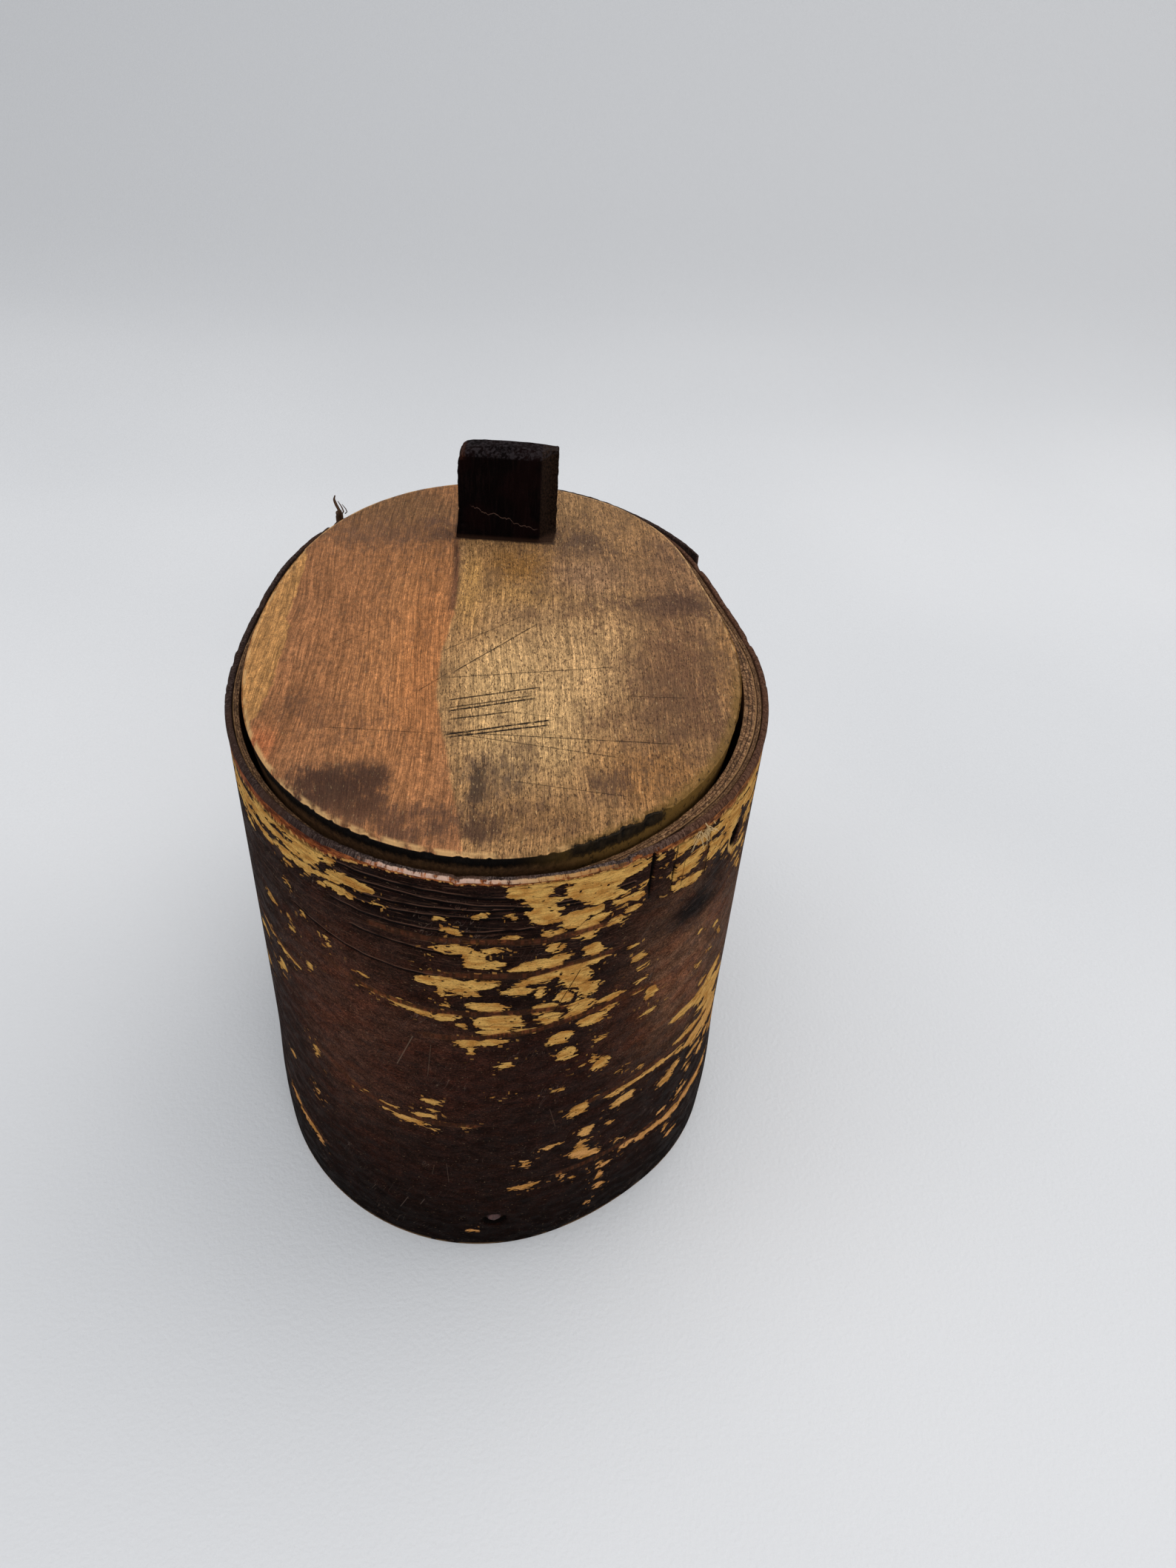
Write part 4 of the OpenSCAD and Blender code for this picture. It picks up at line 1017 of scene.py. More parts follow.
def stitch_route(a, left):
    """The corners of one root's way in and out of the wall; the left one ends over the rim."""
    root_out = SLEEVE_T + SHEET_GAP + ROOT_GAP + ROOT_T / 2
    root_in = -(SLEEVE_T + ROOT_GAP + ROOT_T / 2)
    bend = 0.38 * ROOT_T
    pitch = STITCH_OUT + STITCH_IN
    count = int((WALL_H - LID_T - STITCH_Z - STITCH_OUT + LID_PROUD) // pitch) + 1
    route = [(a, root_in, STITCH_Z - 3)]
    for i in range(count):
        z, top = STITCH_Z + i * pitch, STITCH_Z + i * pitch + STITCH_OUT
        stops = [(root_in, z - bend), (root_in + bend, z), (root_out - bend, z), (root_out, z + bend)]
        if i < count - 1 or not left:
            stops += [(root_out, top - bend), (root_out - bend, top), (root_in + bend, top)]
            ends = ((root_in, top - bend), (root_in, top - 2.5))
            stops += [(root_in, top + bend)] if i < count - 1 else ends
        route += [(a, off, height) for off, height in stops]
    if left:
        rim = WALL_H + ROOT_T / 2 + ROOT_GAP
        route += [(a, root_out, rim - 2), (a + 0.3, root_out - 0.3, rim + 0.2)]
    return route


def make_root(name, a, left):
    path, out = route_points(stitch_route(a, left))
    wide = ROOT_W * (0.88 + 0.1 * noise(np.arange(len(path)) / 5, 0, 0, 131, 2))
    thin = np.full(len(path), ROOT_T * 0.94)
    end = np.linspace(0, 1, len(path))
    wide = np.where(end > 0.985, wide * 0.8, wide)
    return sweep(name, path, wide, thin, out, sides=12, rough=0.12, seed=133)


def path_through(corners, count, rounds=0):
    """A path of count points through corners, eased by some rounds of smoothing."""
    q = np.array(corners, float)
    t = np.linspace(0, len(q) - 1, count)
    path = np.stack([np.interp(t, np.arange(len(q)), q[:, k]) for k in range(3)], -1)
    for _ in range(rounds):
        path[1:-1] = (path[:-2] + 2 * path[1:-1] + path[2:]) / 4
    return path


def make_strand(name, start, bends, width, thick, seed):
    """One loose strand of split root. bends are offsets from its start in mm."""
    path = path_through([start] + [np.add(start, b) for b in bends], STRAND_POINTS, 3)
    taper = 1 - 0.55 * np.linspace(0, 1, STRAND_POINTS) ** 2
    out = np.tile([-0.6, 0.75, 0.2], (STRAND_POINTS, 1))
    return sweep(name, path, width * taper, thick * taper, out, sides=8, rough=0.25, seed=seed)


def joined(name, objects):
    """One object from several."""
    verts, faces, attrs, base = [], [], [], 0
    for o in objects:
        co = coords(o)
        verts.append(co)
        faces += [[base + v for v in p.vertices] for p in o.data.polygons]
        data = np.zeros(len(co) * 3, np.float32)
        o.data.attributes["strip"].data.foreach_get("vector", data)
        attrs.append(data.reshape(-1, 3))
        base += len(co)
        bpy.data.objects.remove(o)
    obj = new_object(name, np.concatenate(verts), faces, 60)
    set_attr(obj, "strip", np.concatenate(attrs))
    return obj


def make_tuft():
    """Pale fibres that have frayed out of the bark under the rim."""
    rng = np.random.default_rng(7)
    strands = []
    for i in range(TUFT_STRANDS):
        s, z = TUFT_AT[0] + rng.normal() * 1.3, TUFT_AT[1] + rng.normal() * 0.9
        a = float(arc_a(s))
        start = wall_point(a, -0.15, z)
        out = np.array([cosd(a), sind(a), 0])
        along = np.array([-sind(a), cosd(a), 0])
        lean = rng.normal(size=2)
        steps = [out * 0.25 * k + along * lean[0] * 0.42 * k
                 + np.array([0, 0, lean[1] * 0.4 * k - 0.1 * k * k]) for k in (1, 2, 3)]
        path = path_through([start] + [start + b for b in steps], TUFT_POINTS)
        wide, thin = np.linspace(0.26, 0.08, TUFT_POINTS), np.linspace(0.12, 0.05, TUFT_POINTS)
        strands.append(sweep(f"fibre{i}", path, wide, thin, np.tile(out, (TUFT_POINTS, 1)), sides=5, seed=i))
    return joined("bark_tuft", strands)


# ---- Materials ----


def bark_material():
    g = Graph("outer_bark")
    wall = g.attr("wall")
    s, z, corner = g.split(wall)
    patch, lent, ridge = g.split(g.attr("field"))
    pit = g.split(g.attr("pit"))[0]
    flat = g.scaled(wall, 1, 1, 0)
    # The dark outer skin: broad mottling, dust, grit and a faint grain along the bark.
    mottle = g.cells(flat, 0.25, 0.4, 0.3, 0.7, detail=5, rough=0.65)
    dust = g.cells(flat, 1.5, 2.0, 0.32, 0.7, detail=5, rough=0.75, shift=3.1)
    grit = g.cells(flat, 4.6, 5.0, 0.34, 0.66, detail=2, shift=45)
    grain = g.cells(flat, 0.8, 6.0, 0.35, 0.7, detail=3, rough=0.6, shift=8.3)
    colour = g.attr("tint")
    for fac, low, high in ((mottle, 0.55, 1.35), (dust, 0.45, 1.6), (grit, 0.55, 1.45), (grain, 0.85, 1.15)):
        colour = g.shade(colour, fac, low, high)
    red = g.cells(flat, 0.12, 0.2, 0.46, 0.62, detail=3, shift=5.5)
    colour = g.mix(g.mul(red, 0.5), colour, g.mix(1.0, colour, (1.3, 0.95, 0.8, 1), "MULTIPLY"))
    colour = g.mix(1.0, colour, (0.8, 0.66, 0.61, 1), "MULTIPLY")
    # Fine lines along the bark under the rim, pale scratches and specks.
    lines = g.near(g.noise(flat, 0.07, 1.5, detail=2, shift=12), 0.5, 0.016, 0.004)
    colour = g.paint(colour, g.mul(lines, g.step(z, 92.0, 104.0), 0.45), 104, 74, 58)
    scratch = g.near(g.noise(flat, 0.9, 0.12, detail=1, turn=24, shift=21), 0.5, 0.009, 0.003)
    scratch = g.mul(scratch, g.cells(flat, 0.12, 0.12, 0.58, 0.68, detail=1, shift=31))
    colour = g.paint(colour, g.mul(scratch, 0.3), 128, 108, 96)
    specks = g.cells(flat, 2.2, 2.8, 0.78, 0.83, detail=0, shift=41)
    colour = g.paint(colour, g.mul(specks, 0.35), 150, 124, 96)
    # Ridges under the rim: a groove darkened with painted shade, and a pale lip.
    lip = g.mul(g.near(ridge, 0.38, 0.3, 0.1), g.cells(flat, 0.2, 0.5, 0.3, 0.5, detail=2, shift=51))
    groove = g.near(ridge, 0.0, 0.38, 0.14)
    colour = g.paint(g.paint(colour, g.mul(lip, 0.5), 122, 88, 72), g.mul(groove, 0.85), 7, 4, 4)
    # Patches where the skin has flaked off. It tears in rows along the bark, so their ends are stepped.
    row = g.math("SNAP", g.add(z, g.mul(g.signed(flat, 0.3, 0.3, detail=1, shift=57), 3.0)), 0.5)
    rows = g.vector(s, row, 0.0)
    rag = g.add(g.mul(g.signed(rows, 0.34, 2.7, detail=1, shift=61), 4.6),
                g.mul(g.signed(flat, 0.95, 3.2, detail=3, shift=71), 2.2))
    depth = g.add(g.math("MINIMUM", patch, 0.0), g.mul(g.math("MAXIMUM", patch, 0.0), 1.8), rag, 0.02)
    holes = g.cells(flat, 0.8, 1.5, 0.69, 0.71, detail=1, shift=81)
    mask = g.mul(g.step(depth, 0.0, 0.07), g.sub(1.0, holes))
    small = g.mul(g.cells(rows, 0.6, 2.0, 0.69, 0.70, detail=1, shift=91), g.step(patch, -4.0, -1.0))
    mask = g.strongest(mask, small)
    # Painted shade: the bark just outside a patch's torn edge is darkened.
    colour = g.paint(colour, g.mul(g.step(depth, -0.5, 0.0), 0.6), 20, 11, 8)
    yellow = g.mix(g.step(z, 70.0, 15.0), srgb(216, 168, 92), srgb(214, 154, 94))
    yellow = g.paint(yellow, g.cells(flat, 0.3, 0.7, 0.36, 0.68, detail=3, shift=101), 182, 126, 60)
    yellow = g.shade(yellow, g.cells(flat, 0.35, 5.0, 0.25, 0.6, detail=4, rough=0.7, shift=111), 0.62, 1.12)
    yellow = g.shade(yellow, g.cells(flat, 3.4, 4.0, 0.3, 0.6, detail=3, shift=115), 0.78, 1.1)
    dashes = g.cells(flat, 0.45, 3.6, 0.66, 0.71, detail=2, shift=118)
    yellow = g.paint(yellow, g.mul(dashes, 0.8), 84, 50, 26)
    yellow = g.paint(yellow, g.mul(g.step(depth, 0.45, 0.05), 0.6), 122, 74, 36)
    colour = g.mix(mask, colour, yellow)
    # Beaded, dark red lenticel lines run over both, with a thin pale edge.
    beads = g.cells(flat, 1.5, 0.2, 0.4, 0.56, detail=1, shift=121)
    band = g.near(lent, 0.0, 0.72, 0.45)
    colour = g.paint(colour, g.mul(g.near(lent, 0.0, 0.95, 0.8), g.strongest(mask, 0.15), 0.5), 158, 104, 60)
    beaded = g.mix(beads, srgb(104, 54, 34), srgb(46, 22, 15))
    colour = g.mix(g.mul(band, g.step(mask, 0.0, 1.0, 0.35, 0.9)), colour, beaded)
    # The knot hole's smooth left lip, painted pale as a highlight.
    hole_s = float(arc_s(KNOT_AT))
    away = g.math("SQRT", g.add(g.square(g.mul(g.sub(s, hole_s), 0.5)),
                                g.square(g.mul(g.sub(z, KNOT_Z), 0.34))))
    lip_highlight = g.mul(g.step(away, 1.5, 1.25), g.step(s, hole_s + 1.0, hole_s - 1.0))
    colour = g.paint(colour, g.mul(lip_highlight, 0.85), 216, 168, 100)
    # Cracks, a stain that ran down from the frayed place, and painted shade that darkens the pits of the
    # knot, the pegs and the rim's cracks.
    for p, q, width, strength, paint in BARK_MARKS:
        colour = g.paint(colour, g.mul(g.segment(s, z, p, q, width), strength), *paint)
    colour = g.paint(colour, g.step(pit, 0.08, 0.5), 12, 8, 7)
    # The wall's foot is rubbed pale here and there.
    rubbed = g.mul(g.step(z, 0.9, 0.3), g.cells(flat, 0.3, 0.3, 0.4, 0.55, detail=3, shift=125))
    colour = g.paint(colour, g.mul(rubbed, 0.5), 150, 118, 84)
    # The rim's worn edge: t is how far below it a point is. The band is broad at the left and orange,
    # thin in front under a pale crest, and at the right it reaches up over the edge.
    left, right = g.step(s, -18.0, -34.0), g.step(s, 20.0, 40.0)
    wob = g.mul(g.signed(flat, 0.5, 0.3, detail=4, rough=0.7, shift=131), 1.1)
    t = g.add(corner, g.mul(wob, 0.6), g.mul(left, -0.7), g.mul(right, -0.35))
    share = g.math("DIVIDE", g.add(t, g.mul(wob, 0.6)), g.add(0.85, g.mul(left, 1.5), g.mul(right, 1.1)))
    tone = g.cells(flat, 0.5, 1.0, 0.36, 0.62, detail=4, rough=0.7, shift=151)
    worn = g.mix(tone, g.mix(left, srgb(190, 112, 62), srgb(164, 88, 46)), srgb(84, 38, 22))
    worn = g.mix(g.mul(right, 0.8), worn, g.mix(tone, srgb(166, 104, 56), srgb(80, 46, 30)))
    worn = g.shade(worn, g.cells(flat, 0.6, 5.0, 0.3, 0.6, detail=3, shift=168), 0.6, 1.15)
    edge_on = g.mul(g.step(share, 1.05, 0.85), g.cells(flat, 0.16, 0.1, 0.24, 0.36, detail=3, shift=161))
    colour = g.paint(colour, g.mul(g.step(share, 1.5, 1.1), 0.7), 30, 14, 9)
    colour = g.mix(g.mul(edge_on, 0.94), colour, worn)
    dots = g.mul(g.near(share, 0.95, 0.3, 0.1), g.cells(flat, 1.3, 0.4, 0.5, 0.6, detail=1, shift=163))
    colour = g.paint(colour, g.mul(dots, 0.85), 214, 158, 88)
    # The fuzzy, grey top of the rim, and a painted highlight on the crest at its outer corner.
    fuzz = g.noise(g.scaled(wall, 1, 0, 1), 3.6, 1, 2.2, detail=4, rough=0.8, shift=171)
    top = g.tones(g.step(fuzz, 0.32, 0.7), (0, 24, 18, 18), (0.5, 66, 53, 49), (1, 122, 104, 96))
    brown = g.cells(flat, 0.09, 0.0, 0.5, 0.62, detail=2, shift=181)
    top = g.paint(top, g.mul(brown, 0.5), 92, 64, 48)
    top = g.paint(top, g.mul(left, 0.55), 46, 32, 28)
    brown_top = g.tones(g.step(fuzz, 0.3, 0.7), (0, 44, 26, 20), (1, 118, 82, 62))
    top = g.mix(g.mul(right, 0.85), top, brown_top)
    colour = g.mix(g.step(t, 0.02, -0.18), colour, top)
    crest_highlight = g.mul(g.near(t, 0.0, 0.26, 0.08), g.step(s, -26.0, -17.0), g.step(s, 26.0, 8.0),
                  g.cells(flat, 0.9, 0.4, 0.38, 0.52, detail=4, rough=0.7, shift=166))
    pale = g.mix(g.step(s, -4.0, 10.0), srgb(222, 186, 166), srgb(206, 160, 102))
    colour = g.mix(g.mul(crest_highlight, 0.85), colour, pale)
    colour = g.paint(colour, g.step(corner, -1.5, -2.2), 46, 31, 24)
    height = g.weighed((mask, -0.6), (dust, 0.35), (grit, 0.14), (grain, 0.2), (mottle, 0.3), (groove, -0.5),
                       (lip, 0.3), (band, 0.25), (fuzz, g.step(corner, 0.3, 0.0)))
    rough = g.strongest(g.cells(flat, 0.3, 0.5, 0.3, 0.7, detail=3, shift=191), g.mul(mask, 0.9))
    return g.done(colour, g.step(rough, 0.0, 1.0, 0.55, 0.8), height, 0.26, gloss=0.02)


def lining_material():
    g = Graph("lining_bark")
    wall = g.attr("wall")
    s, _, across = g.split(wall)
    flat = g.scaled(wall, 1, 1, 0)
    grain = g.cells(flat, 0.25, 3.2, 0.3, 0.7, detail=4, rough=0.65)
    colour = g.tones(grain, (0, 70, 46, 32), (0.5, 104, 72, 50), (1, 134, 98, 68))
    colour = g.shade(colour, g.cells(flat, 0.05, 0.09, 0.42, 0.62, detail=4, shift=4), 0.62, 1.08)
    dash = g.cells(flat, 0.16, 2.6, 0.66, 0.7, detail=1, shift=9)
    colour = g.paint(colour, g.mul(dash, 0.7), 58, 32, 22)
    # The top edge is brown and speckled at the right, and grey and frayed in front.
    speck = g.cells(wall, 2.0, 1.0, 0.36, 0.66, z=5.0, detail=4, rough=0.8, shift=14)
    chunk = g.cells(wall, 0.7, 1.0, 0.36, 0.6, z=2.2, detail=3, shift=17)
    top = g.tones(speck, (0, 74, 48, 32), (0.5, 160, 116, 80), (1, 204, 158, 114))
    grey = g.tones(speck, (0, 30, 24, 22), (0.5, 78, 66, 60), (1, 128, 110, 102))
    top = g.shade(g.mix(g.step(s, 40.0, 28.0), top, grey), chunk, 0.6, 1.15)
    for at, wide in ((0.36, 0.07), (0.66, 0.05)):
        wander = g.mul(g.signed(flat, 0.3, 0.0, detail=2, shift=19), 0.25)
        seam = g.near(g.add(across, wander), at, wide, 0.02)
        top = g.paint(top, g.mul(seam, 0.75), 38, 24, 18)
    top = g.paint(top, g.mul(g.near(across, 0.06, 0.1, 0.03), 0.6), 184, 142, 90)
    on_top = g.mul(g.step(across, 0.02, 0.1), g.step(across, 1.04, 1.0))
    colour = g.mix(on_top, colour, top)
    height = g.add(g.mul(grain, 0.5), g.mul(speck, on_top))
    return g.done(colour, g.step(speck, 0.0, 1.0, 0.6, 0.8), height, 0.22, gloss=0.15)


# Knife cuts across the lid: two ends, half width, strength.
CUTS = [
    ((-10.5, -23.0), (7.5, -18.4), 0.16, 0.9), ((-10.2, -25.2), (6, -20.9), 0.14, 0.8),
    ((-10.3, -26.1), (6.5, -21.7), 0.18, 1.0), ((-10, -28.4), (2, -25.7), 0.15, 0.9),
    ((-10.5, -32.6), (9.6, -27.7), 0.19, 1.0), ((-10.2, -33.3), (9.0, -29.2), 0.19, 1.0),
    ((-10.8, -31.7), (31, -33.9), 0.10, 0.7), ((-10, -31.9), (21, -37.8), 0.10, 0.6),
    ((-9.5, -14.8), (7, 2.0), 0.12, 0.8), ((-11, -16.3), (22, -11.8), 0.09, 0.6),
    ((-12, -8.4), (4, 4.5), 0.08, 0.5), ((-32, -31), (-11, -32.2), 0.08, 0.45),
    ((-16, -21), (-10, -14.6), 0.08, 0.5), ((1, -44), (22, -47.6), 0.08, 0.5),
    ((-10, -24), (12, -27.5), 0.06, 0.4), ((22, -20.6), (35, -20.9), 0.07, 0.5),
    ((-33, -8), (-22, 1), 0.06, 0.35),
]


def lid_material():
    g = Graph("lid_wood")
    p = g.coord()
    x, y, z = g.split(p)
    depth, rot, side = g.split(g.attr("lid"))
    # Grain runs from front to back: fine lines, broad bands, and short dark pores.
    warp = g.noise(p, 0.05, 0.02, 0.1, detail=2, shift=2)
    q = g.vector(g.math("MULTIPLY_ADD", warp, 6.0, x), y, z)
    fine = g.cells(q, 5.0, 0.16, 0.3, 0.7, z=0.3, detail=4, rough=0.75)
    streak = g.cells(q, 1.8, 0.06, 0.32, 0.68, z=0.3, detail=3, rough=0.7, shift=5)
    band = g.cells(q, 0.55, 0.02, 0.3, 0.7, z=0.1, detail=3, rough=0.6, shift=7)
    mottle = g.noise(p, 1.0, 0.6, 0.5, detail=5, rough=0.75, shift=17)
    grit = g.cells(p, 4.2, 3.2, 0.32, 0.62, z=0.5, detail=3, rough=0.8, shift=19)
    colour = g.attr("tint")
    for fac, low, high in ((fine, 0.5, 1.4), (streak, 0.76, 1.2), (band, 0.86, 1.1),
                           (g.step(mottle, 0.3, 0.72), 0.64, 1.32), (grit, 0.68, 1.24)):
        colour = g.shade(colour, fac, low, high)
    pores = g.noise(q, 4.2, 1.0, 0.6, detail=2, rough=0.6, shift=11)
    # Dirt lies in the hollows of the grain first, so a film's edge is broken up into dark lines.
    film = g.split(g.attr("film"))[0]
    hold = g.add(g.signed(q, 2.2, 0.3, 0.4, detail=5, rough=0.8, shift=67),
                 g.signed(p, 0.4, 0.3, 0.3, detail=5, rough=0.7, shift=69))
    film = g.step(g.add(film, g.mul(hold, 1.5)), 0.22, 0.9)
    dirt = g.shade(g.shade(g.attr("film_colour"), fine, 0.72, 1.3), grit, 0.75, 1.25)
    colour = g.mix(g.mul(film, 0.94), colour, dirt)
    speckle = g.step(pores, g.step(side, 0.0, 1.0, 0.62, 0.56), g.step(side, 0.0, 1.0, 0.7, 0.63))
    colour = g.paint(colour, g.mul(speckle, g.step(side, 0.0, 1.0, 0.5, 0.8)), 60, 38, 25)
    pale = g.cells(q, 3.2, 0.9, 0.64, 0.74, z=0.5, detail=2, shift=23)
    colour = g.paint(colour, g.mul(pale, g.step(side, 0.0, 1.0, 0.2, 0.4)), 224, 186, 132)
    # Dark, clotted grime in the right part and fine random scratches.
    grey = g.cells(p, 0.13, 0.09, 0.5, 0.6, z=0.1, detail=6, rough=0.75, shift=29)
    colour = g.paint(colour, g.mul(grey, g.step(side, 0.0, 1.0, 0.1, 0.3)), 104, 78, 56)
    for turn, shift, k in ((8, 31, 0.35), (-14, 37, 0.3), (52, 43, 0.25)):
        hair = g.near(g.noise(p, 0.03, 1.3, 0.1, detail=1, turn=turn, shift=shift), 0.5, 0.010, 0.002)
        where = g.cells(p, 0.06, 0.06, 0.5, 0.6, z=0.1, detail=1, shift=shift + 1)
        colour = g.paint(colour, g.mul(hair, where, k), 80, 54, 38)
    top_only = g.step(depth, 0.0, 0.3)
    cuts = g.strongest(*[g.mul(g.segment(x, y, a, b, 1.4 * width, 1.5), k) for a, b, width, k in CUTS])
    broken = g.cells(p, 1.0, 0.8, 0.36, 0.5, z=0.5, detail=2, shift=47)
    cuts = g.mul(cuts, top_only, g.step(broken, 0.0, 1.0, 0.6, 1.0))
    colour = g.paint(colour, cuts, 24, 16, 12)
    # The board's side: dark in front, olive at the right, brown behind; above it a worn corner.
    crumbs = g.noise(p, 1.2, 1.2, 0.6, detail=5, rough=0.7, shift=53)
    side_dark = g.tones(crumbs, (0.35, 4, 2, 1), (0.62, 13, 8, 5), (0.85, 50, 35, 20))
    blotch = g.noise(p, 0.8, 0.8, 2.5, detail=4, shift=59)
    side_tan = g.tones(blotch, (0.3, 84, 60, 28), (0.7, 158, 120, 64))
    olive = g.mul(g.step(g.add(x, g.mul(crumbs, 8.0)), 18.0, 36.0), g.step(y, 30.0, 0.0))
    edge = g.mix(g.strongest(olive, g.mul(g.step(y, -20.0, 20.0), 0.8)), side_dark, side_tan)
    # Below the part that stands proud, the side is plain aged wood.
    aged = g.noise(q, 1.6, 0.5, 1.2, detail=4, rough=0.7, shift=73)
    inner = g.tones(aged, (0.3, 70, 48, 32), (0.7, 122, 88, 58))
    below = g.step(g.add(depth, g.mul(g.sub(mottle, 0.5), 3.0)), -2.4, -4.6)
    edge = g.mix(below, edge, inner)
    colour = g.mix(g.step(depth, -0.25, -0.9), colour, edge)
    green = g.mul(g.step(x, 2.0, 20.0), g.step(y, -4.0, -22.0),
                  g.step(g.add(depth, g.mul(mottle, 3.4)), 4.4, 2.2))
    colour = g.paint(colour, g.mul(green, 0.75), 118, 88, 40)
    colour = g.paint(colour, g.mul(green, g.step(crumbs, 0.56, 0.62), 0.8), 30, 22, 12)
    worn = g.cells(p, 0.35, 0.35, 0.4, 0.58, z=0.3, detail=4, shift=61)
    worn = g.mul(worn, g.step(depth, 1.2, 0.4), g.step(depth, -0.8, -0.3), g.sub(1.0, green))
    colour = g.paint(colour, g.mul(worn, 0.8), 222, 176, 118)
    rotten = g.step(g.add(depth, g.mul(g.sub(mottle, 0.5), 2.6)), 1.1, 0.6)
    rotten = g.mul(rotten, g.step(g.add(rot, g.mul(crumbs, 0.9)), 0.75, 1.2), g.step(below, 0.6, 0.1))
    colour = g.mix(rotten, colour, g.tones(mottle, (0.35, 10, 8, 6), (0.75, 58, 44, 26)))
    # Painted shade in the joint round the grip.
    gx, gy, _ = grip_axes(g, x, y, z)
    away = g.strongest(g.sub(g.math("ABSOLUTE", gx), GRIP_W / 2),
                       g.sub(g.math("ABSOLUTE", gy), GRIP_T / 2))
    away = g.add(away, g.mul(g.sub(mottle, 0.5), 1.2))
    colour = g.paint(colour, g.mul(g.step(away, 0.9, 0.05), 0.85), 48, 32, 24)
    height = g.weighed((fine, 0.22), (streak, 0.1), (pores, 0.35), (mottle, 0.35), (cuts, -1.6),
                       (rotten, g.mul(mottle, 1.5)))
    return g.done(colour, g.step(mottle, 0.3, 0.7, 0.55, 0.75), height, 0.24, gloss=0.12)


def grip_axes(g, x, y, z):
    """Across the grip, through it, and the height over the lid, as sockets."""
    c, s = float(cosd(GRIP_TURN)), float(sind(GRIP_TURN))
    dx, dy = g.sub(x, float(GRIP_AT[0])), g.sub(y, float(GRIP_AT[1]))
    return g.add(g.mul(dx, c), g.mul(dy, s)), g.add(g.mul(dy, c), g.mul(dx, -s)), g.sub(z, LID_Z)


def grip_material():
    g = Graph("grip_wood")
    p = g.coord()
    gx, gy, gz = grip_axes(g, *g.split(p))
    grain = g.cells(p, 1.6, 1.6, 0.3, 0.7, z=0.18, detail=5, rough=0.7)
    fine = g.cells(p, 3.5, 3.5, 0.3, 0.7, z=2.2, detail=4, rough=0.8, shift=5)
    colour = g.tones(grain, (0, 5, 2, 2), (0.6, 9, 4, 4), (1, 20, 11, 10))
    colour = g.shade(colour, fine, 0.5, 1.4)
    red = g.cells(p, 0.15, 0.15, 0.46, 0.62, z=0.12, detail=2, shift=9)
    colour = g.paint(colour, g.mul(red, 0.35), 24, 7, 7)
    # The right side, where the wood was split off, is painted a little lighter: partly the split wood, partly
    # painted light on the side that faces the lamps.
    lit_split_side = g.mul(g.step(gx, GRIP_W / 2 - 3.3, GRIP_W / 2 - 2.8), 0.8)
    colour = g.mix(lit_split_side, colour, g.tones(fine, (0.2, 12, 8, 6), (0.9, 58, 42, 32)))
    # Grey along the front top edge, partly wear and partly a painted highlight; brown at its left corner.
    worn = g.mul(g.step(gz, 19.0, 19.5), g.cells(p, 1.6, 1.6, 0.4, 0.66, z=1.6, detail=4, shift=13))
    colour = g.paint(colour, g.mul(worn, 0.6), 54, 48, 50)
    knot = g.mul(g.step(gx, -8.2, -9.8), g.step(gz, 18.0, 19.6))
    colour = g.mix(g.mul(knot, 0.7), colour, g.tones(fine, (0.2, 34, 17, 13), (0.9, 110, 64, 44)))
    # A thin pale crack zigzags across the lower front.
    path = g.math("MULTIPLY_ADD", g.noise(p, 0.5, 0.1, 0.1, detail=3, shift=17), 3.4, g.mul(gx, -0.33))
    crack = g.near(g.sub(gz, path), 3.6, 0.15, 0.05)
    crack = g.mul(crack, g.step(gy, -1.5, -2.4), g.step(gx, -8.0, -6.0), g.step(gx, 7.2, 6.2))
    colour = g.paint(colour, g.mul(crack, 0.7), 104, 80, 70)
    colour = g.paint(colour, g.mul(g.step(gz, 1.2, 0.2), 0.3), 78, 54, 40)
    height = g.weighed((grain, 0.3), (fine, 0.25), (crack, -0.8))
    return g.done(colour, g.step(fine, 0.0, 1.0, 0.6, 0.8), height, 0.2, gloss=0.03)


def plain_wood(name, dark, light, grain_axis, cells=2.4, gloss=0.35):
    """Bare wood with its grain along one axis of the CAD frame."""
    g = Graph(name)
    p = g.coord()
    k = [cells, cells, cells]
    k[grain_axis] = cells * 0.05
    warp = g.noise(p, 0.08, 0.08, 0.08, detail=2, shift=3)
    fine = g.noise(p, *k, detail=5, rough=0.7, bend=0.3)
    k2 = [v * 0.2 for v in k]
    band = g.noise(p, *k2, detail=3, rough=0.6, shift=6)
    colour = g.tones(g.step(fine, 0.28, 0.72), (0, *dark), (1, *light))
    colour = g.shade(colour, g.step(band, 0.3, 0.7), 0.74, 1.2)
    colour = g.shade(colour, g.step(warp, 0.35, 0.65), 0.86, 1.1)
    pores = g.noise(p, *[v * 1.6 for v in k], detail=1, shift=12)
    colour = g.mix(g.mul(g.step(pores, 0.66, 0.74), 0.6), colour, srgb(*[int(v * 0.55) for v in dark]))
    return g.done(colour, g.step(fine, 0.3, 0.7, 0.55, 0.75), g.add(fine, g.mul(pores, -0.5)), 0.2, gloss)


def strip_material(name, dark, light):
    """Split root or loose fibre: lines that run along the strip."""
    g = Graph(name)
    run, round_, _ = g.split(g.attr("strip"))
    angle = g.mul(round_, math.pi / 180)
    v = g.vector(run, g.math("SINE", angle), g.math("COSINE", angle))
    fibre = g.noise(v, 0.35, 5.0, 5.0, detail=4, rough=0.7)
    blotch = g.noise(v, 0.3, 0.6, 0.6, detail=3, shift=4)
    colour = g.tones(g.step(fibre, 0.28, 0.72), (0, *dark), (1, *light))
    colour = g.shade(colour, g.step(blotch, 0.3, 0.7), 0.6, 1.2)
    return g.done(colour, 0.6, fibre, 0.15, gloss=0.4)


# ---- Build the pieces ----

